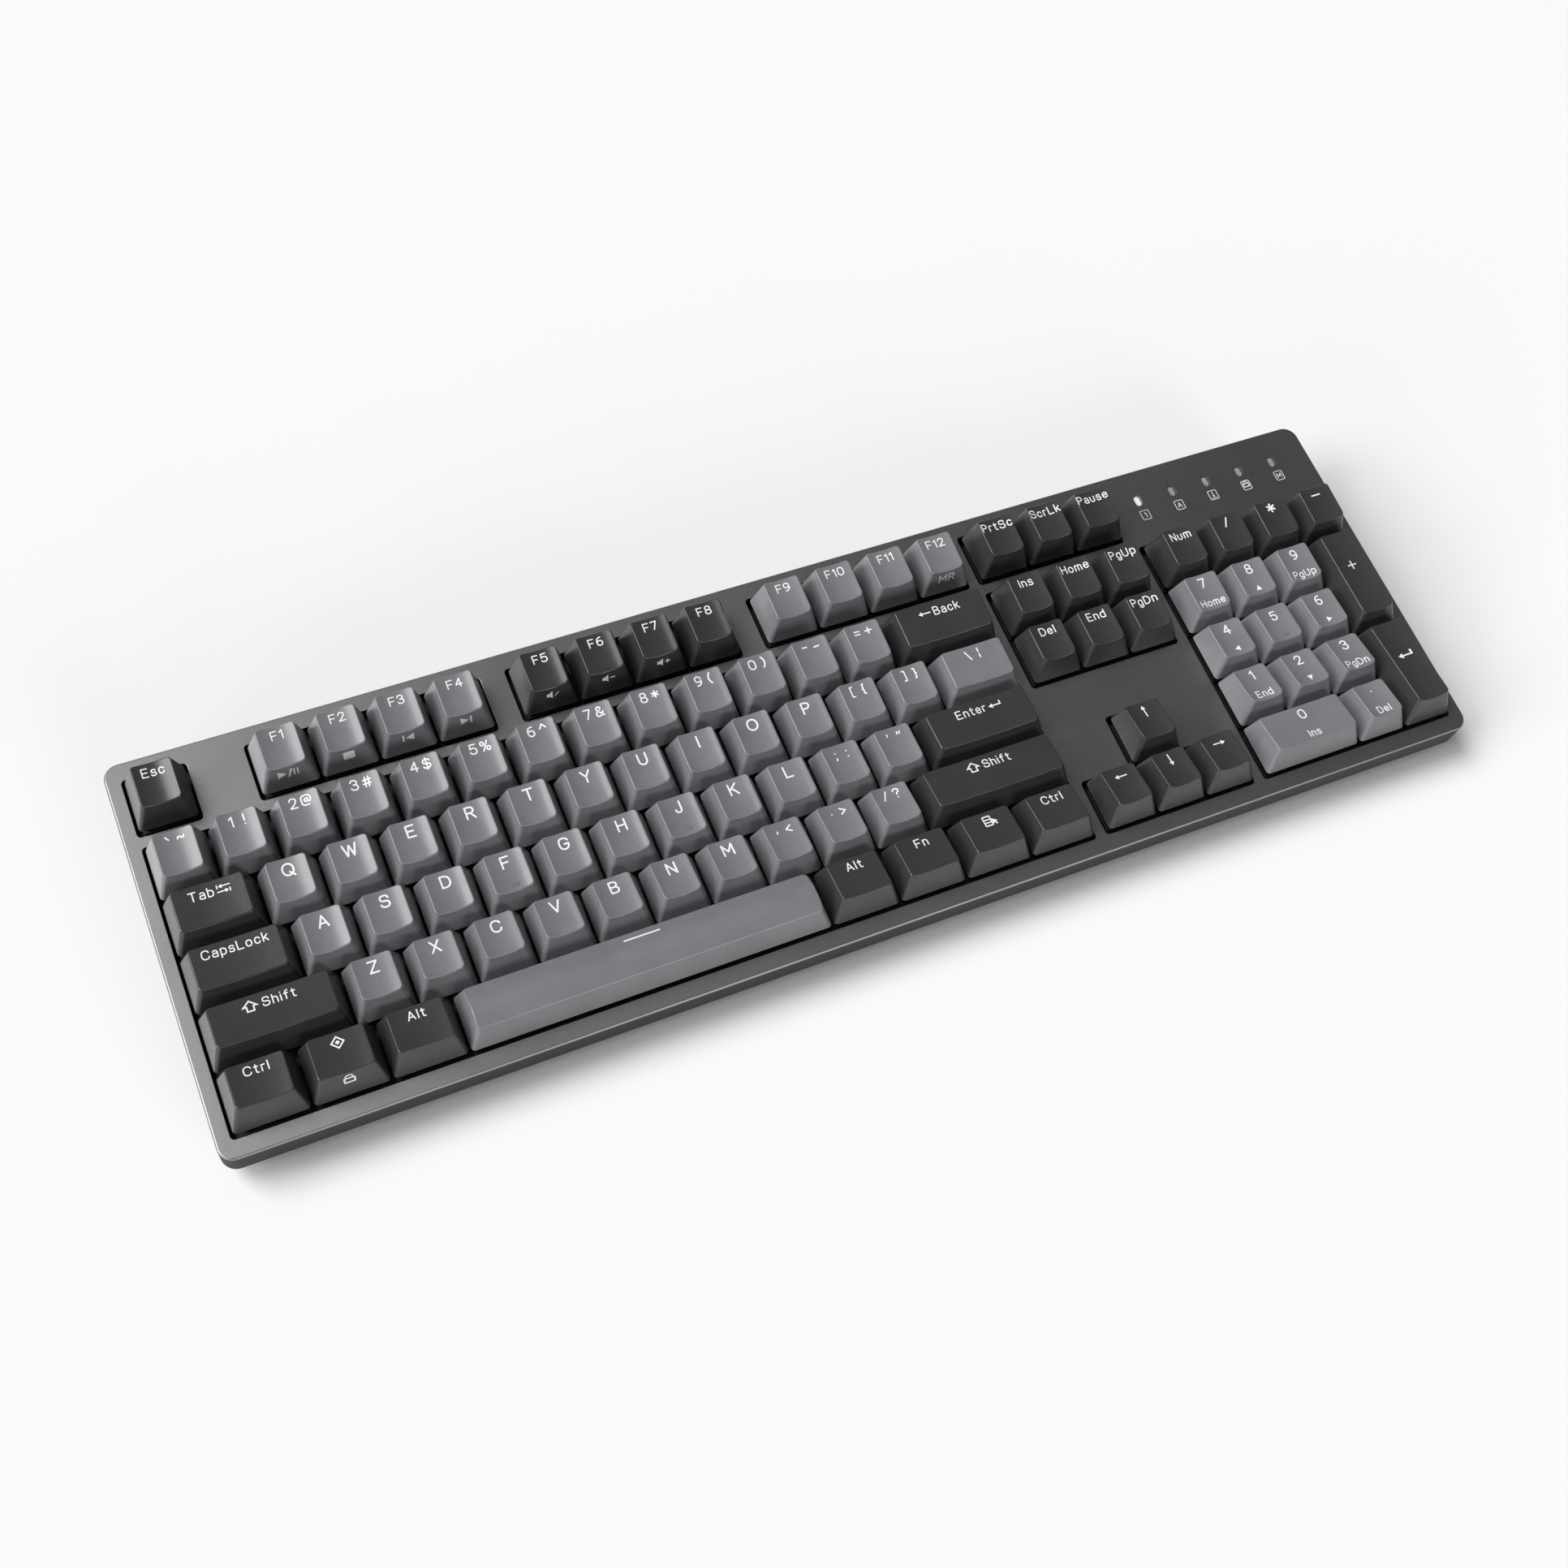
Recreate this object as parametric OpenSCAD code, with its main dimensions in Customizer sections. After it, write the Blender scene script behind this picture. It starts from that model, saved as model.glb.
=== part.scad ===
// Full-size mechanical keyboard: a metal top cover over a plastic tray, a steel
// switch plate, a circuit board, sprung switches with sculpted caps, and flip feet.
// The deck (everything but the tray's floor, the feet and the pads) is drawn flat,
// with its zero on the cover's upper face, and deck() tips it to the typing angle.

/* [Layout] */
// Distance between the centres of two neighbouring single keys
pitch = 19.05; // [19:0.05:19.1]
// Gap between a key's cell and the edge of the opening around it
cell_margin = 0.55; // [0.4:0.05:0.8]
// Corner radius of the openings
opening_corner = 1.3; // [0.6:0.1:2]

/* [Case] */
// Width of the top cover
case_w = 439.2; // [438:0.2:442]
// Depth of the top cover, front to back
case_d = 132.2; // [131:0.2:134]
// Corner radius of the top cover
case_corner = 5; // [4:0.5:7]
// Height of the cover's side band
band_h = 10.8; // [9:0.2:12]
// Thickness of the cover's side band
band_t = 2; // [1.6:0.1:2.2]
// Thickness of the cover's deck
deck_t = 1.6; // [1.4:0.1:1.8]
// Typing angle of the deck
tilt = 4.5; // [4:0.1:5]
// Height of the cover's front edge above the desk
front_h = 17.5; // [17:0.1:19]
// How far the tray stands in from the cover's outer face
tray_inset = 2.4; // [2.3:0.1:3]
// Thickness of the tray's walls and floor
tray_t = 2.2; // [1.8:0.1:2.4]
// Height of the rubber pads
pad_h = 1.3; // [1:0.1:1.6]

/* [Keys] */
// How far a key travels
travel = 4; // [3:0.1:4]
// Gap between the edge of a key's cell and the foot of its cap
cap_gap = 0.43; // [0.35:0.02:0.6]
// Height of the foot of a cap above the deck
cap_foot = 1.5; // [1.2:0.1:2]
// Thickness of a cap's side walls
cap_wall = 1.3; // [1.1:0.1:1.4]
// Thickness of a cap's top
cap_roof = 1.5; // [1.2:0.1:1.6]
// Slope-in of a cap's left and right sides
cap_side_inset = 2.9; // [2.4:0.1:3.2]
// Corner cut at the foot of a cap
foot_corner = 0.7; // [0.4:0.1:1]
// Corner cut at the top of a cap
top_corner = 1.4; // [0.8:0.1:1.8]

/* [Switches] */
// Depth of the switch plate's upper face below the deck
plate_drop = 4.6; // [4.5:0.1:4.8]
// Thickness of the switch plate
plate_t = 1.5; // [1.4:0.1:1.6]
// Distance from the plate's upper face to the circuit board
board_drop = 5; // [4.9:0.1:5.1]
// Thickness of the circuit board
board_t = 1.6; // [1.4:0.1:1.6]
// Width of a switch body in the plate
switch_w = 14; // [13.9:0.1:14]

/* [Feet] */
// Distance of each flip foot from the middle
foot_x = 150; // [148:1:154]
// Width of a flip foot
foot_w = 34; // [30:1:34]
// Length of a flip foot from its pin to its tip
foot_len = 16.5; // [15:0.5:17]
// Radius of a foot's hinge pin
foot_pin_r = 1.5; // [1.3:0.1:1.6]

/* [Hidden] */
$fn = 48;
eps = 0.02;
big = 600;

// Colours
cover_grey = [0.42, 0.41, 0.41];
case_black = [0.16, 0.15, 0.15];
cap_light = [0.55, 0.56, 0.58];
cap_dark = [0.25, 0.25, 0.25];
stem_red = [0.6, 0.12, 0.1];
steel = [0.66, 0.66, 0.67];
board_green = [0.05, 0.2, 0.12];
lens_white = [0.85, 0.87, 0.9];
brass = [0.76, 0.6, 0.3];
rubber_black = [0.08, 0.08, 0.08];

// The key field is 22.5 cells wide and 6.25 deep, centred on the deck's own zero
field_w = 22.5;
field_d = 6.25;
function cell_x(u) = (u - field_w / 2) * pitch;
function cell_y(v) = (field_d / 2 - v) * pitch;

// The case reaches a little further behind the key field than in front of it
case_y = 0.25;
case_front = case_d / 2 - case_y;
case_back = case_d / 2 + case_y;
deck_z = front_h + case_front * sin(tilt);
deck_y = -(case_back * cos(tilt) + band_h * sin(tilt) - case_front * cos(tilt)) / 2;

// Deck heights
plate_z = -plate_drop;
board_z = plate_z - board_drop;
board_under = board_z - board_t;
housing_top = plate_z + 6.6;
cross_h = 3.6;

// Cap heights and slopes for the four sculpted rows, then the two tall keypad keys
BACK_Z = [12.5, 10.1, 8.9, 8.5, 9.9, 8.5];
FRONT_Z = [11.9, 10.1, 10, 11.2, 10, 12];
BACK_INSET = [1.4, 0.9, 0.8, 0.6, 0.9, 0.6];
FRONT_INSET = [3, 3.8, 3.7, 4, 3.7, 4];

// A key is [left cell, back cell, width, depth, profile]; a run is several in a row
function run(u, v, n, profile, w = 1, h = 1) = [for (i = [0:n - 1]) [u + i * w, v, w, h, profile]];
NUM = 1.25;
TOP = 2.25;
HOME = 3.25;
LOW = 4.25;
BASE = 5.25;
NAV = 15.25;
PAD = 18.5;
TALL = 21.5;

ESCAPE = run(0, 0, 1, 0);
F1_F4 = run(2, 0, 4, 0);
F5_F8 = run(6.5, 0, 4, 0);
F9_F12 = run(11, 0, 4, 0);
PRINT_TRIO = run(NAV, 0, 3, 0);
NUMBER_ROW = run(0, NUM, 13, 0);
BACKSPACE = run(13, NUM, 1, 0, 2);
TAB = run(0, TOP, 1, 1, 1.5);
LETTERS_TOP = concat(run(1.5, TOP, 12, 1), run(13.5, TOP, 1, 1, 1.5));
CAPS_LOCK = run(0, HOME, 1, 2, 1.75);
LETTERS_HOME = run(1.75, HOME, 11, 2);
ENTER = run(12.75, HOME, 1, 2, 2.25);
SHIFT_LEFT = run(0, LOW, 1, 3, 2.25);
LETTERS_LOW = run(2.25, LOW, 10, 3);
SHIFT_RIGHT = run(12.25, LOW, 1, 3, 2.75);
CTRL_LEFT = run(0, BASE, 1, 3, 1.25);
SYSTEM_KEY = run(1.25, BASE, 1, 3, 1.25);
ALT_LEFT = run(2.5, BASE, 1, 3, 1.25);
SPACE = run(3.75, BASE, 1, 3, 6.25);
ALT_RIGHT = run(10, BASE, 1, 3, 1.25);
FN_KEY = run(11.25, BASE, 1, 3, 1.25);
MENU_KEY = run(12.5, BASE, 1, 3, 1.25);
CTRL_RIGHT = run(13.75, BASE, 1, 3, 1.25);
EDIT_SIX = concat(run(NAV, NUM, 3, 0), run(NAV, TOP, 3, 1));
ARROW_UP = run(16.25, LOW, 1, 3);
ARROW_LEFT = run(15.25, BASE, 1, 3);
ARROW_DOWN = run(16.25, BASE, 1, 3);
ARROW_RIGHT = run(17.25, BASE, 1, 3);
PAD_SINGLES = concat(run(PAD, NUM, 4, 0), run(PAD, TOP, 3, 1), run(PAD, HOME, 3, 2), run(PAD, LOW, 3, 3),
                     run(20.5, BASE, 1, 3));
PAD_ZERO = run(PAD, BASE, 1, 3, 2);
PAD_PLUS = run(TALL, TOP, 1, 4, 1, 2);
PAD_ENTER = run(TALL, LOW, 1, 5, 1, 2);
ALL_KEYS = concat(ESCAPE, F1_F4, F5_F8, F9_F12, PRINT_TRIO, NUMBER_ROW, BACKSPACE, TAB, LETTERS_TOP,
                  CAPS_LOCK, LETTERS_HOME, ENTER, SHIFT_LEFT, LETTERS_LOW, SHIFT_RIGHT, CTRL_LEFT,
                  SYSTEM_KEY, ALT_LEFT, SPACE, ALT_RIGHT, FN_KEY, MENU_KEY, CTRL_RIGHT, EDIT_SIX,
                  ARROW_UP, ARROW_LEFT, ARROW_DOWN, ARROW_RIGHT, PAD_SINGLES, PAD_ZERO, PAD_PLUS,
                  PAD_ENTER);
function key_x(k) = cell_x(k[0] + k[2] / 2);
function key_y(k) = cell_y(k[1] + k[3] / 2);
function is_long(k) = max(k[2], k[3]) >= 2;
function is_tall(k) = k[3] >= 2;
// Distance of each stabilizer from the middle of its key
function stab_reach(k) = max(k[2], k[3]) > 6 ? 50 : 11.94;
function stab_turn(k) = is_tall(k) ? 90 : 0;
LONG_KEYS = [for (k = ALL_KEYS) if (is_long(k)) k];

// Openings in the cover, each [left cell, back cell, width, depth]
OPENINGS = [[0, 0, 1, 1], [2, 0, 4, 1], [6.5, 0, 4, 1], [11, 0, 4, 1], [NAV, 0, 3, 1],
            [0, NUM, 15, 5], [NAV, NUM, 3, 2], [16.25, LOW, 1, 2], [NAV, BASE, 3, 1], [PAD, NUM, 4, 5]];

// Indicator slots over the keypad
led_x = 175.4;
led_step = 0.75 * pitch;
led_y = 54.2;
slot_w = 2.6;
slot_d = 4.3;
LEDS = [for (i = [-2:2]) [led_x + i * led_step, led_y]];

// Screws that hold the cover, in the blank parts of the deck
COVER_POSTS = [[cell_x(1.5), cell_y(0.5)], [cell_x(6.25), cell_y(0.5)], [cell_x(10.75), cell_y(0.5)],
               [cell_x(15.75), cell_y(4.75)], [cell_x(17.75), cell_y(4.75)], [cell_x(20.5), 46]];
post_r = 3.2;
post_bottom = board_under - 1;
post_bore_r = 1.15;
post_bore = 4;
tray_boss_r = 4.2;
head_seat = post_bottom - 4;
case_screw_r = 1.1;
case_head_r = 2.4;
case_head_h = 1.8;

// Screws that hold the switch plate, in the gaps between the switches
row_gap_y = cell_y(1.125);
nav_gap_x = cell_x(15.125);
pad_gap_x = cell_x(18.375);
PLATE_POSTS = [[cell_x(1.5), row_gap_y], [cell_x(6.25), row_gap_y], [cell_x(10.75), row_gap_y],
               [nav_gap_x, row_gap_y], [pad_gap_x, cell_y(2.25)], [cell_x(22), 40],
               [nav_gap_x, cell_y(4.75)], [pad_gap_x, cell_y(4.75)],
               [cell_x(5.5), cell_y(5.75)], [cell_x(8.25), cell_y(5.75)]];
plate_boss_r = 2.6;
plate_screw_r = 0.8;
plate_head_r = 1.9;
plate_head_h = 1.2;
plate_screw_len = 7;

// Stabilizer wire: its bar lies behind the switch and its arms reach into the inserts
wire_r = 0.8;
wire_y = 9.5;
wire_z = plate_z + 1;
wire_arm = 9;
wire_lift = 13;
insert_w = 4.2;
insert_d = 5.4;

// Flip feet, in the desk's own axes
well_w = foot_w + 1;
well_t = 2;
pin_y = 54;
pin_z = pad_h + 2.7;
foot_half_t = 2.1;
well_front = pin_y - foot_len - 1.5;
well_back = pin_y + 4.5;
well_top = pin_z + 3.2;
tip_len = 2 * foot_half_t;

// Socket for the data lead, in the tray's back wall under the board
usb_x = -60;
usb_w = 8.94;
usb_h = 3.16;
usb_depth = 7.6;
usb_z = board_under - usb_h / 2;
usb_wall = 0.3;

// Controller chip, under the board below the indicators
chip_x = 150;
chip_y = 47;
chip_w = 10;
chip_t = 1.2;
tray_back = case_back - tray_inset;

// ---- Helpers ----

module deck() translate([0, deck_y, deck_z]) rotate([tilt, 0, 0]) children();

module block(x0, x1, y0, y1, z0, z1) translate([x0, y0, z0]) cube([x1 - x0, y1 - y0, z1 - z0]);

module column(r, z0, z1) translate([0, 0, z0]) cylinder(r = r, h = z1 - z0);

module round_rect(w, d, r) {
  square([w - 2 * r, d], center = true);
  square([w, d - 2 * r], center = true);
  for (sx = [-1, 1], sy = [-1, 1]) translate([sx * (w / 2 - r), sy * (d / 2 - r)]) circle(r);
}

module slab(inset, z0, z1, r)
  translate([0, case_y, z0]) linear_extrude(z1 - z0) round_rect(case_w - 2 * inset, case_d - 2 * inset, r);

module pill(w, d, z0, z1) {
  r = min(w, d) / 2;
  translate([0, 0, z0]) linear_extrude(z1 - z0) {
    square([w > d ? w - 2 * r : w, w > d ? d : d - 2 * r], center = true);
    for (s = [-1, 1]) translate([w > d ? s * (w / 2 - r) : 0, w > d ? 0 : s * (d / 2 - r)]) circle(r);
  }
}

module at_each(places) for (p = places) translate([p[0], p[1], 0]) children();

module at_each_key(keys) for (k = keys) translate([key_x(k), key_y(k), 0]) children();

// Both stabilizers of each long key, each with its own inner side turned to -X
module at_each_stab(keys) for (k = keys) translate([key_x(k), key_y(k), 0]) rotate([0, 0, stab_turn(k)])
  for (s = [0, 1]) mirror([s, 0, 0]) translate([stab_reach(k), 0, 0]) children();

// ---- Case ----

module top_cover() color(cover_grey) deck() difference() {
  union() {
    difference() {
      slab(0, -band_h, 0, case_corner);
      slab(band_t, -band_h - 1, -deck_t, case_corner - band_t);
    }
    at_each(COVER_POSTS) column(post_r, post_bottom, -deck_t / 2);
  }
  for (o = OPENINGS)
    translate([cell_x(o[0] + o[2] / 2), cell_y(o[1] + o[3] / 2), -deck_t - 1])
      linear_extrude(deck_t + 2)
        round_rect(o[2] * pitch + 2 * cell_margin, o[3] * pitch + 2 * cell_margin, opening_corner);
  at_each(LEDS) pill(slot_w, slot_d, -deck_t - 1, 1);
  at_each(COVER_POSTS) column(post_bore_r, post_bottom - 1, post_bottom + post_bore);
}

// Everything over the height z, in the desk's axes
module over(z) translate([-big / 2, -big / 2, z]) cube([big, big, big]);

module foot_well(solid) {
  grow = solid ? well_t : 0;
  block(-well_w / 2 - grow, well_w / 2 + grow, well_front - grow, well_back + grow,
        solid ? pad_h : pad_h - 1, well_top + grow);
}

module bottom_case() color(case_black) difference() {
  union() {
    difference() {
      intersection() {
        deck() slab(tray_inset, -60, -deck_t, case_corner - tray_inset);
        over(pad_h);
      }
      intersection() {
        deck() slab(tray_inset + tray_t, -60, 1, 1);
        over(pad_h + tray_t);
      }
    }
    intersection() {
      deck() {
        at_each(COVER_POSTS) column(tray_boss_r, -60, post_bottom);
        at_each(PLATE_POSTS) column(plate_boss_r, -60, plate_z - plate_t);
      }
      over(pad_h + eps);
    }
    for (s = [-1, 1]) translate([s * foot_x, 0, 0]) foot_well(true);
  }
  deck() {
    at_each(COVER_POSTS) {
      column(case_screw_r + 0.3, head_seat - 1, post_bottom + 1);
      column(case_head_r + 0.3, -60, head_seat);
    }
    at_each(PLATE_POSTS) column(plate_screw_r + 0.05, plate_z - plate_screw_len - 0.5, plate_z);
    translate([usb_x, tray_back, usb_z]) rotate([90, 0, 0]) pill(usb_w + 0.4, usb_h + 0.4, -1, tray_t + 1);
  }
  for (s = [-1, 1]) translate([s * foot_x, 0, 0]) {
    foot_well(false);
    translate([-well_w / 2 - well_t - 1, pin_y, pin_z]) rotate([0, 90, 0])
      cylinder(r = foot_pin_r + 0.06, h = well_w + 2 * well_t + 2);
  }
}

module switch_plate() color(steel) deck() difference() {
  slab(tray_inset + tray_t + 0.4, plate_z - plate_t, plate_z, 1);
  at_each_key(ALL_KEYS) block(-switch_w / 2 - 0.05, switch_w / 2 + 0.05, -switch_w / 2 - 0.05,
                              switch_w / 2 + 0.05, plate_z - plate_t - 1, plate_z + 1);
  at_each_stab(LONG_KEYS) block(-3.5, 3.5, -5.8, 9.4, plate_z - plate_t - 1, plate_z + 1);
  at_each(COVER_POSTS) column(post_r + 0.5, plate_z - plate_t - 1, plate_z + 1);
  at_each(PLATE_POSTS) column(plate_screw_r + 0.2, plate_z - plate_t - 1, plate_z + 1);
  at_each(LEDS) pill(slot_w + 0.6, slot_d + 0.6, plate_z - plate_t - 1, plate_z + 1);
}

// Where a switch's two legs pass through the board
LEGS = [[-3.2, 4], [2.6, 4.8]];
leg_w = 1;
leg_t = 0.4;

module circuit_board() color(board_green) deck() difference() {
  slab(tray_inset + tray_t + 1, board_under, board_z, 1);
  at_each_key(ALL_KEYS) {
    column(2.05, board_under - 1, board_z + 1);
    at_each(LEGS) column(0.75, board_under - 1, board_z + 1);
  }
  at_each(COVER_POSTS) column(tray_boss_r + 0.3, board_under - 1, board_z + 1);
  at_each(PLATE_POSTS) column(plate_boss_r + 0.4, board_under - 1, board_z + 1);
}

module controller_chip() color(rubber_black) deck() translate([chip_x, chip_y, board_under - chip_t / 2])
  cube([chip_w, chip_w, chip_t], center = true);

module indicator_leds() color(brass) deck() at_each(LEDS)
  block(-0.8, 0.8, -1.4, 1.4, board_z, board_z + 0.7);

module indicator_lenses() color(lens_white) deck() at_each(LEDS)
  pill(slot_w - 0.3, slot_d - 0.3, board_z + 0.9, -deck_t + 0.3);

module usb_port() color(steel) deck() translate([usb_x, tray_back, usb_z]) rotate([90, 0, 0]) {
  difference() {
    pill(usb_w, usb_h, 0, usb_depth);
    pill(usb_w - 2 * usb_wall, usb_h - 2 * usb_wall, -1, usb_depth - 1);
  }
  translate([-3.3, -0.35, 0.8]) cube([6.6, 0.7, usb_depth - 1.8 + eps]);
}

module case_screws() color(steel) deck() at_each(COVER_POSTS) difference() {
  union() {
    column(case_head_r, head_seat - case_head_h, head_seat);
    column(case_screw_r, head_seat - 0.5, post_bottom + post_bore - 0.5);
  }
  translate([0, 0, head_seat - case_head_h]) cube([3, 0.7, 1.4], center = true);
  translate([0, 0, head_seat - case_head_h]) cube([0.7, 3, 1.4], center = true);
}

module plate_screws() color(steel) deck() at_each(PLATE_POSTS) difference() {
  union() {
    column(plate_head_r, plate_z, plate_z + plate_head_h);
    column(plate_screw_r, plate_z - plate_screw_len, plate_z + 0.5);
  }
  translate([0, 0, plate_z + plate_head_h]) cube([2.4, 0.5, 1], center = true);
  translate([0, 0, plate_z + plate_head_h]) cube([0.5, 2.4, 1], center = true);
}

// ---- Feet and pads, in the desk's own axes ----

// The back pads stand clear of the screw holes
back_pad_x = 62;

module rubber_pads() color(rubber_black) for (s = [-1, 1]) {
  translate([s * foot_x, -54, 0]) pill(40, 7, 0, pad_h);
  translate([s * back_pad_x, 57, 0]) pill(40, 7, 0, pad_h);
}

module flip_foot(s) color(case_black) translate([s * foot_x, pin_y, pin_z]) difference() {
  union() {
    rotate([0, 90, 0]) translate([0, 0, -foot_w / 2]) cylinder(r = foot_half_t, h = foot_w);
    block(-foot_w / 2, foot_w / 2, tip_len - foot_len, 0, -foot_half_t, foot_half_t);
    rotate([0, 90, 0]) translate([0, 0, -foot_w / 2 - well_t + 0.2])
      cylinder(r = foot_pin_r, h = foot_w + 2 * well_t - 0.4);
  }
  block(-foot_w / 2 + 5, foot_w / 2 - 5, tip_len - foot_len + 3, -5, 0, foot_half_t + 1);
}

module foot_tip(s) color(rubber_black) translate([s * foot_x, pin_y, pin_z]) {
  block(-foot_w / 2, foot_w / 2, foot_half_t - foot_len, tip_len - foot_len, -foot_half_t, foot_half_t);
  translate([-foot_w / 2, foot_half_t - foot_len, 0]) rotate([0, 90, 0])
    cylinder(r = foot_half_t, h = foot_w);
}

module flip_foot_left() flip_foot(-1);
module flip_foot_right() flip_foot(1);
module foot_tip_left() foot_tip(-1);
module foot_tip_right() foot_tip(1);

// ---- Switches ----

cavity_w = 11;
neck_w = 8.6;
flange_w = 15.6;
flange_h = 1;
housing_floor = board_z + 1.1;
gate_w = 7.4;
gate_d = 5.9;
slider_w = 7;
slider_d = 5.5;
slider_bottom = housing_floor + travel + 0.2;
spring_pocket = 4.5;
pocket_top = 0.5;

module centred(w, d, z0, z1) block(-w / 2, w / 2, -d / 2, d / 2, z0, z1);

module switch_lower_housings() color(case_black) deck() at_each_key(ALL_KEYS) difference() {
  union() {
    centred(switch_w, switch_w, board_z, plate_z + eps);
    centred(flange_w, flange_w, plate_z, plate_z + flange_h);
    column(1.95, board_under - 1.2, board_z + eps);
  }
  centred(cavity_w, cavity_w, housing_floor, plate_z + flange_h + 1);
}

module switch_upper_housings() color(case_black) deck() at_each_key(ALL_KEYS) {
  base = plate_z + flange_h;
  step = plate_z + 3.6;
  difference() {
    union() {
      centred(switch_w, switch_w, base, step);
      centred(neck_w + 2, neck_w + 2, step - eps, housing_top);
    }
    centred(neck_w, neck_w, base - 1, housing_top - 1.2);
    centred(gate_w, gate_d, housing_top - 2, housing_top + 1);
  }
}

// Each spring is drawn at its pressed length, so that the slider clears it all the way down
module switch_springs() color(brass) deck() at_each_key(ALL_KEYS) difference() {
  column(2, housing_floor, pocket_top - travel - 0.05);
  column(1.6, housing_floor - 1, pocket_top);
}

module switch_contacts() color(brass) deck() at_each_key(ALL_KEYS) at_each(LEGS)
  centred(leg_w, leg_t, board_under - 1, plate_z + flange_h - 0.1);

module slider() difference() {
  union() {
    centred(slider_w, slider_d, slider_bottom, housing_top);
    cross(housing_top - eps, housing_top + cross_h, 0);
  }
  centred(spring_pocket, spring_pocket, slider_bottom - 1, pocket_top);
}

// The cross on a slider, and with slack the socket for it in a cap
module cross(z0, z1, slack) {
  centred(4 + slack, 1.2 + slack, z0, z1);
  centred(1.2 + slack, 4 + slack, z0, z1);
}

module stab_insert() difference() {
  union() {
    centred(insert_w, insert_d, slider_bottom, housing_top);
    cross(housing_top - eps, housing_top + cross_h, 0);
  }
  block(-wire_r - 0.35, wire_r + 0.35, -0.8, insert_d, plate_z + 1.4, plate_z + plate_drop);
}

module stabilizer_housings() color(case_black) deck() at_each_stab(LONG_KEYS) difference() {
  union() {
    block(-3.3, 3.3, -5.6, 7, board_z + 0.1, plate_z + 2.2);
    block(-3.3, -1.3, 6, wire_y + 1.4, plate_z, plate_z + 1.85);
  }
  centred(insert_w + 0.4, insert_d + 0.4, board_z - 1, plate_z + 4);
  block(-1.2, 1.2, 2, 8, board_z - 1, plate_z + 4);
  block(-4, 0, wire_y - wire_r - 0.1, wire_y + wire_r + 0.1, plate_z + 0.15, plate_z + 4);
}

// A wire's bar and its two arms, with the arm tips lifted for the key's upper stop
module wire(keys) color(steel) deck() for (k = keys)
  translate([key_x(k), key_y(k), 0]) rotate([0, 0, stab_turn(k)]) translate([0, wire_y, wire_z]) {
    reach = stab_reach(k);
    translate([-reach, 0, 0]) rotate([0, 90, 0]) cylinder(r = wire_r, h = 2 * reach);
    for (s = [-1, 1]) translate([s * reach, 0, 0]) {
      sphere(wire_r);
      rotate([90 - wire_lift, 0, 0]) cylinder(r = wire_r, h = wire_arm);
    }
  }

module wire_backspace() wire(BACKSPACE);
module wire_enter() wire(ENTER);
module wire_shift_left() wire(SHIFT_LEFT);
module wire_shift_right() wire(SHIFT_RIGHT);
module wire_space() wire(SPACE);
module wire_pad_plus() wire(PAD_PLUS);
module wire_pad_enter() wire(PAD_ENTER);
module wire_pad_zero() wire(PAD_ZERO);

// ---- Caps ----

// Corner points of a rectangle with cut corners, counter-clockwise from the front left
function cut_rect(x0, x1, y0, y1, c) =
  [[x0 + c, y0], [x1 - c, y0], [x1, y0 + c], [x1, y1 - c],
   [x1 - c, y1], [x0 + c, y1], [x0, y1 - c], [x0, y0 + c]];

function plain_rect(x0, x1, y0, y1) = [[x0, y0], [x1, y0], [x1, y1], [x0, y1]];

// A closed body between two such outlines; the upper one slopes from front_z to back_z
module sculpt(low, high, low_z, front_z, back_z) {
  y0 = min([for (p = high) p[1]]);
  y1 = max([for (p = high) p[1]]);
  n = len(low);
  points = concat([for (p = low) [p[0], p[1], low_z]],
                  [for (p = high) [p[0], p[1], front_z + (back_z - front_z) * (p[1] - y0) / (y1 - y0)]]);
  sides = [for (i = [0:n - 1]) [n + i, n + (i + 1) % n, (i + 1) % n, i]];
  polyhedron(points, concat([[for (i = [0:n - 1]) i]], sides, [[for (i = [n - 1:-1:0]) n + i]]));
}

module cap(k) {
  w = k[2] * pitch / 2 - cap_gap;
  d = k[3] * pitch / 2 - cap_gap;
  row = k[4];
  low = cut_rect(-w, w, -d, d, foot_corner);
  high = cut_rect(cap_side_inset - w, w - cap_side_inset, FRONT_INSET[row] - d, d - BACK_INSET[row],
                  top_corner);
  t = cap_wall;
  inner_low = plain_rect(t - w, w - t, t - d, d - t);
  inner_high = plain_rect(cap_side_inset + t - w, w - t - cap_side_inset, FRONT_INSET[row] + t - d,
                          d - t - BACK_INSET[row]);
  front_z = FRONT_Z[row];
  back_z = BACK_Z[row];
  // A long cap has a socket at its middle and one over each stabilizer
  sockets = is_long(k) ? [0, -stab_reach(k), stab_reach(k)] : [0];
  difference() {
    union() {
      difference() {
        sculpt(low, high, cap_foot, front_z, back_z);
        sculpt(inner_low, inner_high, cap_foot - eps, front_z - cap_roof, back_z - cap_roof);
      }
      for (p = sockets) rotate([0, 0, stab_turn(k)]) translate([p, 0, housing_top + eps])
        cylinder(r = 2.75, h = back_z / 2 + front_z / 2 - cap_roof / 2 - housing_top, $fn = 8);
    }
    for (p = sockets) rotate([0, 0, stab_turn(k)]) translate([p, 0, 0])
      cross(housing_top - 1, housing_top + cross_h + 0.1, 0.1);
  }
}

module keys(list, tint) deck() for (k = list) translate([key_x(k), key_y(k), 0]) {
  color(tint) cap(k);
  color(stem_red) slider();
  if (is_long(k)) color(stem_red) rotate([0, 0, stab_turn(k)])
    for (s = [-1, 1]) translate([s * stab_reach(k), 0, 0]) stab_insert();
}

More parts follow.
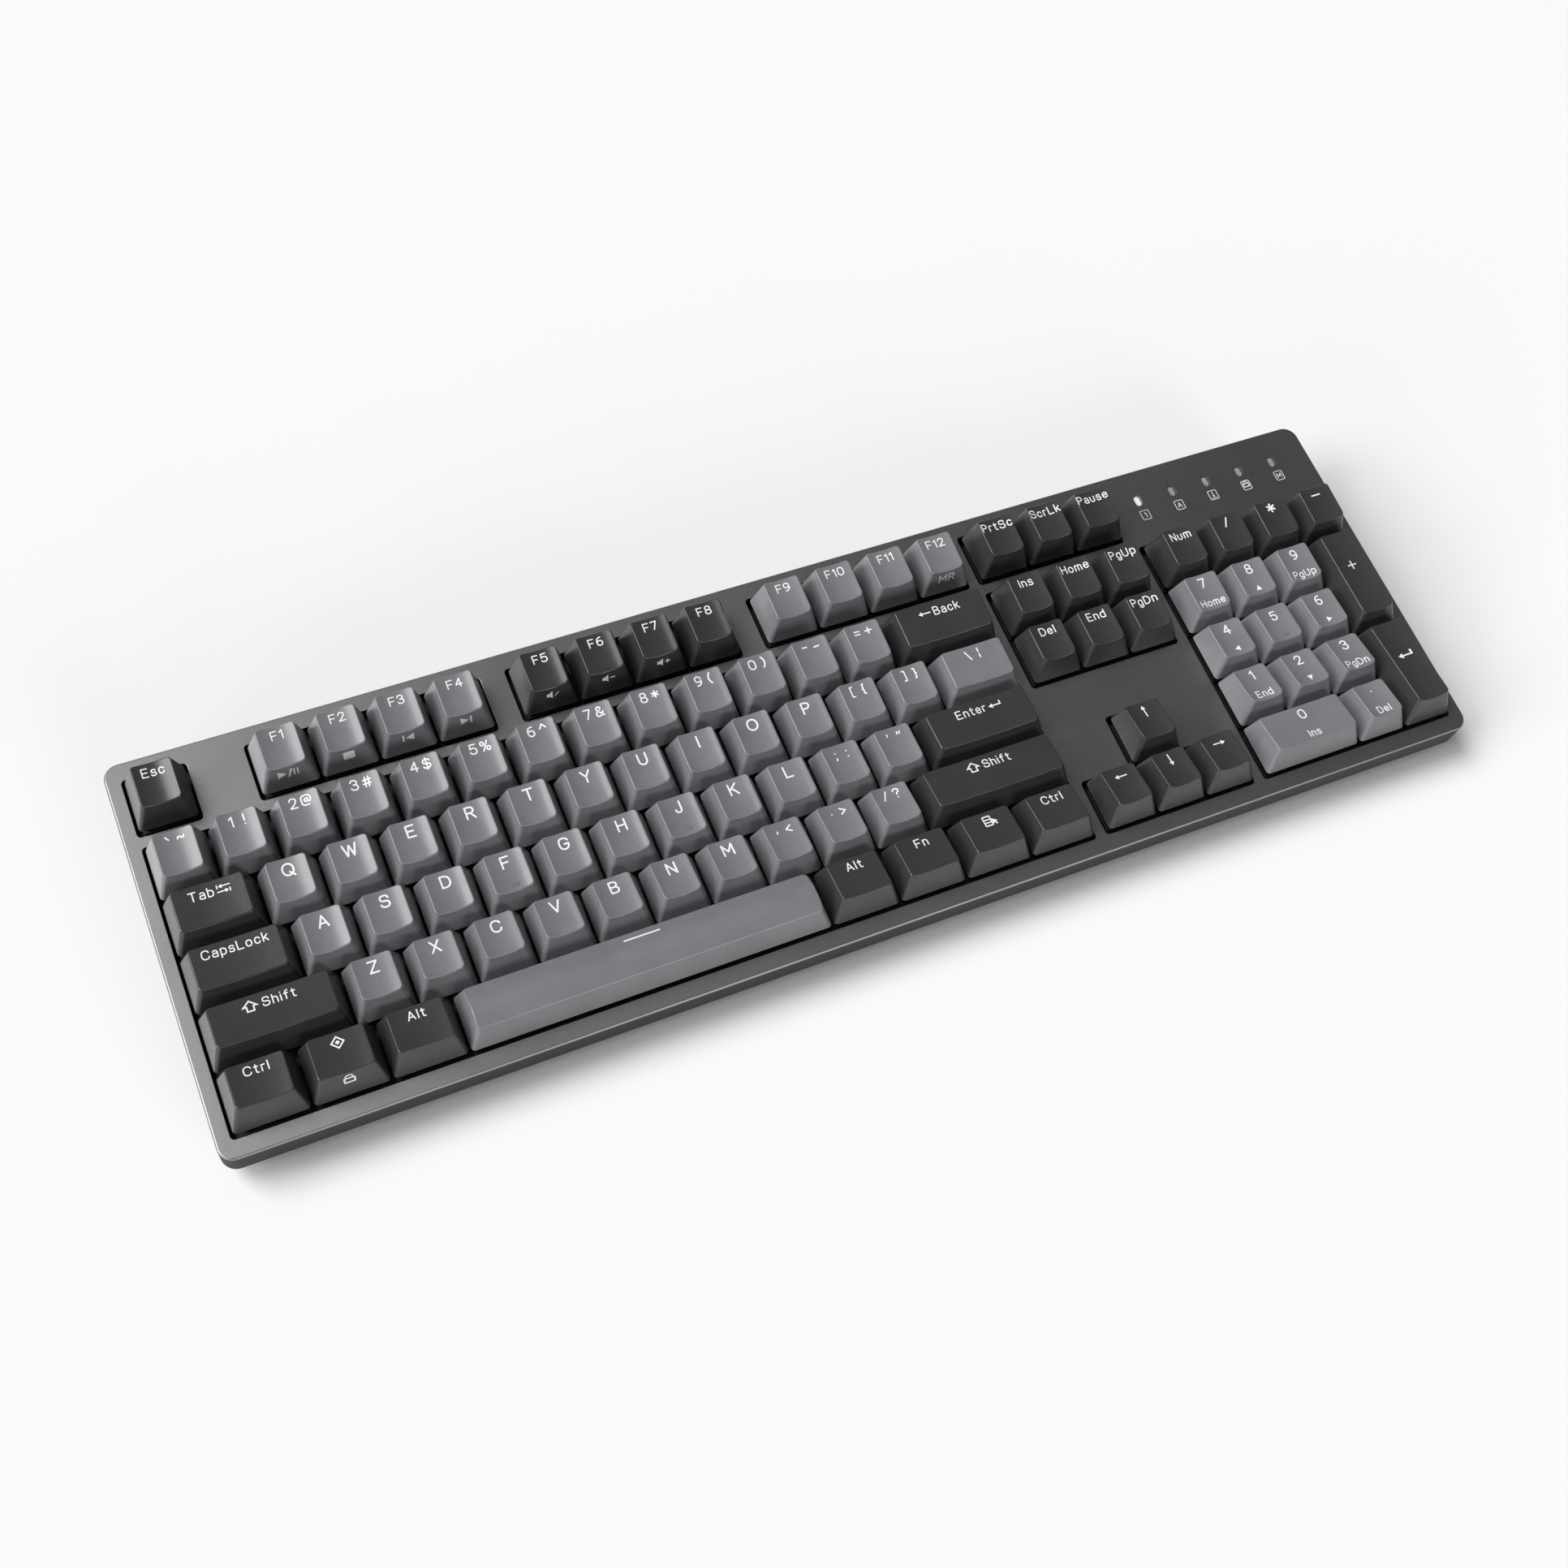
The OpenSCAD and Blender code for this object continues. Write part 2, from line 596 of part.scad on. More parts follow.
module key_escape() keys(ESCAPE, cap_dark);
module key_backspace() keys(BACKSPACE, cap_dark);
module key_tab() keys(TAB, cap_dark);
module key_caps_lock() keys(CAPS_LOCK, cap_dark);
module key_enter() keys(ENTER, cap_dark);
module key_shift_left() keys(SHIFT_LEFT, cap_dark);
module key_shift_right() keys(SHIFT_RIGHT, cap_dark);
module key_ctrl_left() keys(CTRL_LEFT, cap_dark);
module key_system() keys(SYSTEM_KEY, cap_dark);
module key_alt_left() keys(ALT_LEFT, cap_dark);
module key_space() keys(SPACE, cap_light);
module key_alt_right() keys(ALT_RIGHT, cap_dark);
module key_fn() keys(FN_KEY, cap_dark);
module key_menu() keys(MENU_KEY, cap_dark);
module key_ctrl_right() keys(CTRL_RIGHT, cap_dark);
module key_arrow_up() keys(ARROW_UP, cap_dark);
module key_arrow_left() keys(ARROW_LEFT, cap_dark);
module key_arrow_down() keys(ARROW_DOWN, cap_dark);
module key_arrow_right() keys(ARROW_RIGHT, cap_dark);
module key_pad_zero() keys(PAD_ZERO, cap_light);
module key_pad_plus() keys(PAD_PLUS, cap_dark);
module key_pad_enter() keys(PAD_ENTER, cap_dark);
module keys_f1_to_f4() keys(F1_F4, cap_light);
module keys_f5_to_f8() keys(F5_F8, cap_dark);
module keys_f9_to_f12() keys(F9_F12, cap_light);
module keys_print_trio() keys(PRINT_TRIO, cap_dark);
module keys_numbers() keys(NUMBER_ROW, cap_light);
module keys_letters_top() keys(LETTERS_TOP, cap_light);
module keys_letters_home() keys(LETTERS_HOME, cap_light);
module keys_letters_low() keys(LETTERS_LOW, cap_light);
module keys_edit_six() keys(EDIT_SIX, cap_dark);
module keys_pad_singles() keys(PAD_SINGLES, cap_light);

top_cover();
bottom_case();
switch_plate();
circuit_board();
switch_lower_housings();
switch_upper_housings();
switch_springs();
switch_contacts();
stabilizer_housings();
indicator_lenses();
indicator_leds();
controller_chip();
usb_port();
case_screws();
plate_screws();
rubber_pads();
flip_foot_left();
flip_foot_right();
foot_tip_left();
foot_tip_right();
wire_backspace();
wire_enter();
wire_shift_left();
wire_shift_right();
wire_space();
wire_pad_plus();
wire_pad_enter();
wire_pad_zero();
key_escape();
key_backspace();
key_tab();
key_caps_lock();
key_enter();
key_shift_left();
key_shift_right();
key_ctrl_left();
key_system();
key_alt_left();
key_space();
key_alt_right();
key_fn();
key_menu();
key_ctrl_right();
key_arrow_up();
key_arrow_left();
key_arrow_down();
key_arrow_right();
key_pad_zero();
key_pad_plus();
key_pad_enter();
keys_f1_to_f4();
keys_f5_to_f8();
keys_f9_to_f12();
keys_print_trio();
keys_numbers();
keys_letters_top();
keys_letters_home();
keys_letters_low();
keys_edit_six();
keys_pad_singles();
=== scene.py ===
"""Looks of the full-size mechanical keyboard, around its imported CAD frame."""
from math import cos, hypot, pi, radians, sin

import bmesh
import bpy
from mathutils import Euler, Matrix, Vector


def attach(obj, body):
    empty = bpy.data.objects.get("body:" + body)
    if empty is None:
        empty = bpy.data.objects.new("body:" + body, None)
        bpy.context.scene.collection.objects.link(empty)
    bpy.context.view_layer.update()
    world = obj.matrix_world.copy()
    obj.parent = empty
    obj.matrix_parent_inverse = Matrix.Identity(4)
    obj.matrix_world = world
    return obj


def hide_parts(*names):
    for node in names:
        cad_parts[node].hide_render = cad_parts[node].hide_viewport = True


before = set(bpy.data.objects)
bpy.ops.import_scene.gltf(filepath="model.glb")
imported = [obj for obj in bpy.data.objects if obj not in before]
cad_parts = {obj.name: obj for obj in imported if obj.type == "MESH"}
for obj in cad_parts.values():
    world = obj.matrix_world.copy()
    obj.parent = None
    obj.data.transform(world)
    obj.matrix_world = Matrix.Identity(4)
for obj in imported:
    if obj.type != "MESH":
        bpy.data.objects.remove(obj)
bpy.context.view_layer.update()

# ---- Sizes, in metres ----

MM = 0.001
PITCH = 19.05 * MM
TILT = radians(4.5)
CASE_W, CASE_D, CASE_Y = 439.2 * MM, 132.2 * MM, 0.25 * MM
CASE_CORNER = 5 * MM
BAND_H, BAND_T, DECK_T = 10.8 * MM, 2 * MM, 1.6 * MM
CASE_FRONT, CASE_BACK = CASE_D / 2 - CASE_Y, CASE_D / 2 + CASE_Y
DECK_Z = 17.5 * MM + CASE_FRONT * sin(TILT)
DECK_Y = -(CASE_BACK * cos(TILT) + BAND_H * sin(TILT) - CASE_FRONT * cos(TILT)) / 2
# The deck is modelled flat about its own zero on the cover's upper face, then tipped
DECK = Matrix.Translation((0, DECK_Y, DECK_Z)) @ Matrix.Rotation(TILT, 4, "X")

CELL_MARGIN, OPENING_CORNER = 0.55 * MM, 1.3 * MM
RIM_BEVEL, BAND_BEVEL, EASED = 0.65 * MM, 0.25 * MM, 0.2 * MM
# Cutting tools stand from under the deck to over it
TOOL_Z = -4 * MM, 2 * MM
POST_RADIUS, POST_H, SCREW_RADIUS, SCREW_DEPTH = 3.2 * MM, 10.6 * MM, 1.15 * MM, 4 * MM
NEAR = 0.01 * MM

CAP_GAP, CAP_FOOT, CAP_WALL = 0.43 * MM, 1.5 * MM, 1.1 * MM
CAP_SIDE, CAP_CORNER, CAP_EDGE = 2.9 * MM, 1.25 * MM, 0.4 * MM
SCOOP, WIDE_SCOOP, CROWN, CROWN_RISE = 0.95 * MM, 0.5 * MM, 2.4 * MM, 0.35
SCOOP_CUTS, CROWN_CUTS, CUT_SPAN = 11, 7, 0.86
SHARP = 40
# Stems: half width and half depth, the cross that holds the cap, the shoulder and the spring's pocket
SLIDER, INSERT = (3.5 * MM, 2.75 * MM), (2.1 * MM, 2.7 * MM)
HOUSING_TOP, SLIDER_FOOT = 2 * MM, -4.3 * MM
CROSS_H, CROSS_LONG, CROSS_SHORT, CROSS_SUNK = 3.6 * MM, 2 * MM, 0.6 * MM, 0.1 * MM
SHOULDER_IN, SHOULDER_H = 0.4 * MM, 0.6 * MM
POCKET_WALL, POCKET_H = 0.6 * MM, 4.8 * MM
WIRE_SLOT, WIRE_SLOT_Y, WIRE_SLOT_Z = 1.15 * MM, (-0.8 * MM, 4 * MM), (-3.2 * MM, 0)
INSERT_REACH, SPACE_INSERT_REACH = 11.94 * MM, 50 * MM
# The raised bar on F, J and 5: half length, half depth, foot and top, place from the top's front edge, and lift
BAR_W, BAR_D, BAR_Z, BAR_PLACE, BAR_LIFT = 1.7 * MM, 0.3 * MM, (-0.5 * MM, 0.25 * MM), 1.6 * MM, 0.05 * MM
# The six cap profiles: heights and insets of the top's back and front edges
BACK_Z = [z * MM for z in (12.5, 10.1, 8.9, 8.5, 9.9, 8.5)]
FRONT_Z = [z * MM for z in (11.9, 10.1, 10, 11.2, 10, 12)]
BACK_INSET = [z * MM for z in (1.4, 0.9, 0.8, 0.6, 0.9, 0.6)]
FRONT_INSET = [z * MM for z in (3, 3.8, 3.7, 4, 3.7, 4)]
LEGEND_LIFT, LEGEND_T = 0.015 * MM, 0.03 * MM

# ---- Layout: each key is left cell, back cell, width, depth and profile ----

# Back edges of the rows, and left edges of the blocks at the right, in cells
NUM, TOP, HOME, LOW, BASE, NAV, PAD, TALL = 1.25, 2.25, 3.25, 4.25, 5.25, 15.25, 18.5, 21.5
SPACE_WIDTH = 6.25


def run(u, v, n, profile, w=1, h=1):
    """A row of n equal keys."""
    return [(u + i * w, v, w, h, profile) for i in range(n)]


def cell_x(u):
    return (u - 11.25) * PITCH


def cell_y(v):
    return (3.125 - v) * PITCH


def key_x(k):
    return cell_x(k[0] + k[2] / 2)


def key_y(k):
    return cell_y(k[1] + k[3] / 2)


# Each bank of keys: the body it moves with, its keys, and what each cap says
BANKS = {
    "key_escape": (run(0, 0, 1, 0), ["Esc"]),
    "keys_f1_to_f4": (run(2, 0, 4, 0), ["F1", "F2", "F3", "F4"]),
    "keys_f5_to_f8": (run(6.5, 0, 4, 0), ["F5", "F6", "F7", "F8"]),
    "keys_f9_to_f12": (run(11, 0, 4, 0), ["F9", "F10", "F11", "F12"]),
    "keys_print_trio": (run(NAV, 0, 3, 0), ["PrtSc", "ScrLk", "Pause"]),
    "keys_numbers": (run(0, NUM, 13, 0),
                     ["`~", "1!", "2@", "3#", "4$", "5%", "6^", "7&", "8*", "9(", "0)", "-_", "=+"]),
    "key_backspace": (run(13, NUM, 1, 0, 2), ["back Back"]),
    "key_tab": (run(0, TOP, 1, 1, 1.5), ["tab Tab"]),
    "keys_letters_top": (run(1.5, TOP, 12, 1) + run(13.5, TOP, 1, 1, 1.5),
                         [*"QWERTYUIOP", "[{", "]}", "\\|"]),
    "key_caps_lock": (run(0, HOME, 1, 2, 1.75), ["CapsLock"]),
    "keys_letters_home": (run(1.75, HOME, 11, 2), [*"ASDFGHJKL", ";:", "'\""]),
    "key_enter": (run(12.75, HOME, 1, 2, 2.25), ["enter Enter"]),
    "key_shift_left": (run(0, LOW, 1, 3, 2.25), ["shift Shift"]),
    "keys_letters_low": (run(2.25, LOW, 10, 3), [*"ZXCVBNM", ",<", ".>", "/?"]),
    "key_shift_right": (run(12.25, LOW, 1, 3, 2.75), ["shift Shift"]),
    "key_ctrl_left": (run(0, BASE, 1, 3, 1.25), ["Ctrl"]),
    "key_system": (run(1.25, BASE, 1, 3, 1.25), ["diamond"]),
    "key_alt_left": (run(2.5, BASE, 1, 3, 1.25), ["Alt"]),
    "key_space": (run(3.75, BASE, 1, 3, SPACE_WIDTH), ["dash"]),
    "key_alt_right": (run(10, BASE, 1, 3, 1.25), ["Alt"]),
    "key_fn": (run(11.25, BASE, 1, 3, 1.25), ["Fn"]),
    "key_menu": (run(12.5, BASE, 1, 3, 1.25), ["menu"]),
    "key_ctrl_right": (run(13.75, BASE, 1, 3, 1.25), ["Ctrl"]),
    "keys_edit_six": (run(NAV, NUM, 3, 0) + run(NAV, TOP, 3, 1),
                      ["Ins", "Home", "PgUp", "Del", "End", "PgDn"]),
    "key_arrow_up": (run(16.25, LOW, 1, 3), ["up"]),
    "key_arrow_left": (run(15.25, BASE, 1, 3), ["left"]),
    "key_arrow_down": (run(16.25, BASE, 1, 3), ["down"]),
    "key_arrow_right": (run(17.25, BASE, 1, 3), ["right"]),
    "keys_pad_singles": (run(PAD, NUM, 4, 0) + run(PAD, TOP, 3, 1) + run(PAD, HOME, 3, 2)
                         + run(PAD, LOW, 3, 3) + run(20.5, BASE, 1, 3),
                         ["Num", "/", "*", "minus", "7 Home", "8 tri_up", "9 PgUp", "4 tri_left", "5",
                          "6 tri_right", "1 End", "2 tri_down", "3 PgDn", ". Del"]),
    "key_pad_zero": (run(PAD, BASE, 1, 3, 2), ["0 Ins"]),
    "key_pad_plus": (run(TALL, TOP, 1, 4, 1, 2), ["plus"]),
    "key_pad_enter": (run(TALL, LOW, 1, 5, 1, 2), ["enter"]),
}
LIGHT_BANKS = {"keys_f1_to_f4", "keys_f9_to_f12", "keys_numbers", "keys_letters_top", "keys_letters_home",
               "keys_letters_low", "key_space", "keys_pad_singles", "key_pad_zero"}
# The keypad bank's first keys are dark
DARK_PAD_KEYS = 4
FRONT_MARKS = {"keys_f1_to_f4": ["play", "stop", "previous", "next"],
               "keys_f5_to_f8": ["mute", "quieter", "louder", None],
               "keys_f9_to_f12": [None, None, None, "MR"],
               "key_system": ["padlock"]}
# Which keys of a bank have the raised bar
HOMING = {"keys_letters_home": [3, 6], "keys_pad_singles": [8]}

# The cover's openings: left cell, back cell, width and depth
OPENINGS = [(0, 0, 1, 1), (2, 0, 4, 1), (6.5, 0, 4, 1), (11, 0, 4, 1), (NAV, 0, 3, 1), (0, NUM, 15, 5),
            (NAV, NUM, 3, 2), (16.25, LOW, 1, 2), (NAV, BASE, 3, 1), (PAD, NUM, 4, 5)]
LED_X, LED_Y, LED_STEP = 175.4 * MM, 54.2 * MM, 0.75 * PITCH
LED_MARKS = ["1", "A", "down_bar", "padlock", "M"]
MARK_Y, MARK_H = 47.9 * MM, 2.2 * MM
LED_SLOT, PIPE, PIPE_Z = (2.6 * MM, 4.3 * MM), (2.3 * MM, 4 * MM), (-8.7 * MM, -0.5 * MM)
COVER_POSTS = [(cell_x(1.5), cell_y(0.5)), (cell_x(6.25), cell_y(0.5)), (cell_x(10.75), cell_y(0.5)),
               (cell_x(15.75), cell_y(4.75)), (cell_x(17.75), cell_y(4.75)), (cell_x(20.5), 46 * MM)]

# ---- Modelling by hand, in code ----


def fresh():
    """Leaves edit mode and selects nothing, ready for a new primitive."""
    if bpy.context.object and bpy.context.object.mode != "OBJECT":
        bpy.ops.object.mode_set(mode="OBJECT")
    bpy.ops.object.select_all(action="DESELECT")


def only(*pieces):
    """Selects just these pieces, the first one active."""
    fresh()
    for piece in pieces:
        piece.select_set(True)
    bpy.context.view_layer.objects.active = pieces[0]


def settle():
    """Puts the selected pieces' places into their meshes."""
    bpy.ops.object.transform_apply(location=True, rotation=True, scale=True)


def block(name, x0, x1, y0, y1, z0, z1):
    fresh()
    bpy.ops.mesh.primitive_cube_add(size=1, location=((x0 + x1) / 2, (y0 + y1) / 2, (z0 + z1) / 2),
                                    scale=(x1 - x0, y1 - y0, z1 - z0))
    bpy.context.object.name = name
    settle()
    return bpy.context.object


def edit(piece, kind="FACE"):
    """Opens edit mode on the piece with nothing selected."""
    only(piece)
    bpy.ops.object.mode_set(mode="EDIT")
    bpy.ops.mesh.select_mode(type=kind)
    bpy.ops.mesh.select_all(action="DESELECT")


def choose(kind, test):
    """In edit mode, selects just the faces, edges or corners that pass the test."""
    bpy.ops.mesh.select_mode(type=kind)
    bpy.ops.mesh.select_all(action="DESELECT")
    mesh = bpy.context.object.data
    cage = bmesh.from_edit_mesh(mesh)
    for item in {"VERT": cage.verts, "EDGE": cage.edges, "FACE": cage.faces}[kind]:
        item.select_set(test(item))
    cage.select_flush_mode()
    bmesh.update_edit_mesh(mesh)


def upright(e):
    a, b = (v.co for v in e.verts)
    return abs(a.z - b.z) > hypot(a.x - b.x, a.y - b.y)


def faces_up(p):
    return p.normal.z > 0.9


def faces_down(p):
    return p.normal.z < -0.9


def middle(e):
    return (e.verts[0].co + e.verts[1].co) / 2


def done():
    bpy.ops.object.mode_set(mode="OBJECT")


def apply(piece, kind, **settings):
    """Adds a modifier with these settings and applies it."""
    only(piece)
    modifier = piece.modifiers.new(kind.lower(), kind)
    for key, value in settings.items():
        setattr(modifier, key, value)
    bpy.ops.object.modifier_apply(modifier=modifier.name)


def cut(piece, *tools):
    """Takes the tools' shapes out of the piece, and the tools away."""
    if len(tools) > 1:
        only(*tools)
        bpy.ops.object.join()
    apply(piece, "BOOLEAN", object=tools[0], operation="DIFFERENCE", solver="EXACT",
          use_self=len(tools) > 1)
    bpy.data.objects.remove(tools[0])


def joined(name, parts):
    """One piece from several, under this name."""
    only(*parts)
    if len(parts) > 1:
        bpy.ops.object.join()
    parts[0].name = name
    return parts[0]


def copy_to(model, x, y):
    """A copy of a modelled shape with its own mesh, at this place on the deck."""
    twin = model.copy()
    twin.data = model.data.copy()
    twin.location = (x, y, 0)
    bpy.context.scene.collection.objects.link(twin)
    return twin


def smooth(piece, angle=SHARP):
    only(piece)
    bpy.ops.object.shade_smooth_by_angle(angle=radians(angle))
    apply(piece, "WEIGHTED_NORMAL", keep_sharp=True)


def mount(piece, body, slot, finish, *nodes):
    """Tips a flat-modelled piece with the deck and fixes it to its body."""
    only(piece)
    piece.matrix_world = DECK
    settle()
    fit(piece, body, slot, finish, *nodes)


def fit(piece, body, slot, finish, *nodes):
    """Gives the piece its finish and its body. The slot argument is not used."""
    piece.data.materials.clear()
    piece.data.materials.append(finish)
    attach(piece, body)
    if nodes:
        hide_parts(*nodes)


# ---- Finishes ----


class Wire:
    """A value on its way through a finish; sums on it add Math nodes."""

    def __init__(self, finish, socket):
        self.finish, self.socket = finish, socket

    def reckon(self, operation, a, b):
        return self.finish.node("ShaderNodeMath", {"operation": operation}, {0: a, 1: b})

    def __add__(self, other):
        return self.reckon("ADD", self, other)

    def __sub__(self, other):
        return self.reckon("SUBTRACT", self, other)

    def __rsub__(self, other):
        return self.reckon("SUBTRACT", other, self)

    def __mul__(self, other):
        return self.reckon("MULTIPLY", self, other)

    __radd__, __rmul__ = __add__, __mul__


class Finish:
    """A material built of nodes on the piece's own coordinates."""

    def __init__(self, name):
        self.material = bpy.data.materials.new(name)
        self.material.use_nodes = True
        self.tree = self.material.node_tree
        self.skin = self.tree.nodes["Principled BSDF"]
        self.place = self.node("ShaderNodeTexCoord", {}, {}, "Object")

    def node(self, kind, settings, inputs, output=0):
        """Adds a node, its settings first and then its sockets' values or links."""
        made = self.tree.nodes.new(kind)
        for key, value in settings.items():
            setattr(made, key, value)
        for key, value in inputs.items():
            self.join(made.inputs[key], value)
        return Wire(self, made.outputs[output])

    def join(self, socket, value):
        if isinstance(value, Wire):
            self.tree.links.new(value.socket, socket)
        else:
            socket.default_value = (*value, 1) if socket.type == "RGBA" and len(value) == 3 else value

    def set(self, **values):
        """Sets or links the shader's own sockets: set(base_color=..., roughness=...)."""
        for key, value in values.items():
            self.join(self.skin.inputs[key.replace("_", " ").title().replace("Ior", "IOR")], value)

    def noise(self, scale, detail=2.0, roughness=0.5, stretch=None):
        place = self.place
        if stretch:
            place = self.node("ShaderNodeMapping", {}, {"Vector": place, "Scale": stretch})
        return self.node("ShaderNodeTexNoise", {}, {"Vector": place, "Scale": scale, "Detail": detail,
                                                    "Roughness": roughness})

    def spread(self, value, low, high, to_low, to_high):
        """Stretches a value from one range to another, held at both ends."""
        return self.node("ShaderNodeMapRange", {}, {0: value, 1: low, 2: high, 3: to_low, 4: to_high})

    def blend(self, mask, a, b):
        return self.node("ShaderNodeMix", {"data_type": "RGBA"}, {0: mask, 6: a, 7: b}, 2)

    def bump(self, height, depth, strength=1.0):
        return self.node("ShaderNodeBump", {}, {"Height": height, "Distance": depth, "Strength": strength})

    def deck_height(self):
        """How far a point stands above the cover's upper face."""
        x, y, z = (self.node("ShaderNodeSeparateXYZ", {}, {0: self.place}, axis) for axis in range(3))
        return z * cos(TILT) - y * sin(TILT) - (DECK_Z * cos(TILT) - DECK_Y * sin(TILT))


def shade(colour, gain):
    return tuple(min(1, c * gain) for c in colour)


def cap_plastic(name, colour, roughness):
    """Moulded cap: fine spark-eroded grain, slight mottling, tops polished by fingers."""
    f = Finish(name)
    grain = f.noise(5200, 3)
    mottle = f.noise(90, 4)
    top = f.spread(f.deck_height(), 7 * MM, 9 * MM, 0, 1)
    smudge = f.spread(f.noise(160, 3), 0.5, 0.68, 0, 1)
    tone = f.spread(mottle + (grain - 0.5) * 0.5, 0.3, 0.7, 0, 1)
    sheen = f.spread(grain, 0.3, 0.7, roughness - 0.04, roughness + 0.04)
    f.set(base_color=f.blend(tone, shade(colour, 0.93), shade(colour, 1.07)),
          roughness=sheen - top * 0.03 - top * smudge * 0.03,
          normal=f.bump(grain, 0.012 * MM, 0.5), specular_ior_level=0.55)
    return f.material


def legend_plastic(name, colour):
    """White second-shot plastic of the legends."""
    f = Finish(name)
    grain = f.noise(5200, 2)
    worn = f.spread(f.noise(420, 4), 0.55, 0.75, 0, 1)
    f.set(base_color=f.blend(worn, colour, shade(colour, 0.9)),
          roughness=f.spread(grain, 0.3, 0.7, 0.34, 0.44), normal=f.bump(grain, 0.008 * MM, 0.4))
    return f.material


def blasted_metal(name, colour, shaded_side_gain, roughness):
    """Bead-blasted, anodised sheet with a fine sparkle and a few faint rubs, its sides painted darker as shade.
    """
    f = Finish(name)
    bead = f.noise(3800, 3, 0.6)
    cloud = f.noise(24, 4)
    rub = f.spread(f.noise(900, 2, stretch=(0.06, 1, 1)), 0.66, 0.78, 0, 1)
    tone = f.spread(bead + (cloud - 0.5) * 0.4, 0.32, 0.68, 0, 1)
    # Painted shade: below the rim the sides drop to the shaded-side share of the colour, with less metal and
    # more roughness
    side = f.spread(f.deck_height(), -0.85 * MM, -0.6 * MM, 1, 0)
    face = f.blend(tone, shade(colour, 0.84), shade(colour, 1.16))
    f.set(base_color=f.blend(side, face, shade(colour, shaded_side_gain)), metallic=1 - side * 0.5,
          roughness=f.spread(bead, 0.3, 0.7, roughness - 0.03, roughness + 0.03) - rub * 0.03 + side * 0.2,
          normal=f.bump(bead, 0.016 * MM, 0.5))
    return f.material


def moulded(name, colour, roughness, scale=1800, depth=0.03):
    """Plain moulded plastic with an etched grain."""
    f = Finish(name)
    grain = f.noise(scale, 4, 0.6)
    cloud = f.noise(60, 3)
    tone = f.spread(grain + (cloud - 0.5) * 0.6, 0.25, 0.75, 0, 1)
    f.set(base_color=f.blend(tone, shade(colour, 0.85), shade(colour, 1.15)),
          roughness=f.spread(grain, 0.3, 0.7, roughness - 0.06, roughness + 0.06),
          normal=f.bump(grain, depth * MM, 0.6))
    return f.material


def drawn_metal(name, colour, roughness, stretch=None):
    """Rolled or drawn metal with a faint grain along it and dull spots."""
    f = Finish(name)
    line = f.noise(2400, 3, 0.6, stretch)
    spot = f.spread(f.noise(300, 3), 0.55, 0.72, 0, 1)
    f.set(base_color=f.blend(spot, colour, shade(colour, 0.75)), metallic=1.0,
          roughness=f.spread(line, 0.3, 0.7, roughness - 0.08, roughness + 0.08) + spot * 0.1,
          normal=f.bump(line, 0.008 * MM, 0.4))
    return f.material


def solder_mask(name, colour):
    """Lacquered circuit board: tracks show as faint ridges under the lacquer."""
    f = Finish(name)
    tracks = f.node("ShaderNodeTexBrick", {"offset": 0.5},
                    {"Vector": f.place, "Scale": 260.0, "Mortar Size": 0.012,
                     "Color1": (0, 0, 0), "Color2": (0, 0, 0), "Mortar": (1, 1, 1)})
    weave = f.noise(1500, 3)
    f.set(base_color=f.blend(tracks, colour, shade(colour, 1.5)),
          roughness=f.spread(weave, 0.3, 0.7, 0.28, 0.42), normal=f.bump(tracks, 0.04 * MM, 0.5))
    return f.material


def frosted(name, colour, glow=0.0):
    """Milky light pipe; the lit one glows."""
    f = Finish(name)
    cloud = f.noise(1500, 3)
    f.set(base_color=f.blend(cloud, shade(colour, 0.9), colour),
          roughness=f.spread(cloud, 0.3, 0.7, 0.3, 0.5), normal=f.bump(cloud, 0.01 * MM, 0.3),
          emission_color=colour, emission_strength=glow)
    return f.material


CAP_LIGHT = cap_plastic("cap_plastic_light", (0.198, 0.201, 0.213), 0.3)
CAP_DARK = cap_plastic("cap_plastic_dark", (0.041, 0.041, 0.042), 0.3)
LEGEND = legend_plastic("legend_plastic", (0.93, 0.93, 0.93))
PRINT = legend_plastic("cover_print", (0.85, 0.85, 0.85))
# The cover's sides are painted down to 0.09 of its colour as shade
COVER = blasted_metal("cover_anodised", (0.32, 0.307, 0.312), 0.09, 0.42)
TRAY = moulded("tray_plastic", (0.022, 0.021, 0.022), 0.55)
PLATE = moulded("plate_paint", (0.012, 0.012, 0.013), 0.5, 900, 0.02)
HOUSING = moulded("housing_plastic", (0.012, 0.012, 0.013), 0.5, 2600, 0.01)
STEM = moulded("stem_plastic", (0.3, 0.02, 0.015), 0.35, 3000, 0.01)
RUBBER = moulded("rubber", (0.018, 0.018, 0.018), 0.8, 1400, 0.05)
STEEL = drawn_metal("wire_steel", (0.55, 0.55, 0.56), 0.3, (0.08, 1, 1))
SCREW = drawn_metal("screw_steel", (0.32, 0.32, 0.33), 0.35)
SPRING = drawn_metal("spring_steel", (0.62, 0.5, 0.3), 0.3)
SHELL = drawn_metal("socket_shell", (0.6, 0.6, 0.61), 0.28)
BOARD = solder_mask("board_lacquer", (0.012, 0.06, 0.03))
CHIP = moulded("chip_resin", (0.015, 0.015, 0.016), 0.6, 3000, 0.02)
LED_OFF = frosted("light_pipe", (0.34, 0.34, 0.35))
LED_ON = frosted("light_pipe_lit", (0.9, 0.88, 0.9), 0.2)
LED_DIE = frosted("led_die", (0.7, 0.68, 0.5))

# ---- Cover ----


def rounded_block(name, x, y, w, d, z0, z1, corner, segments):
    """A plate with rounded upright corners."""
    piece = block(name, x - w / 2, x + w / 2, y - d / 2, y + d / 2, z0, z1)
    edit(piece)
    choose("EDGE", upright)
    bpy.ops.mesh.bevel(offset=corner, segments=segments, affect="EDGES")
    done()
    return piece


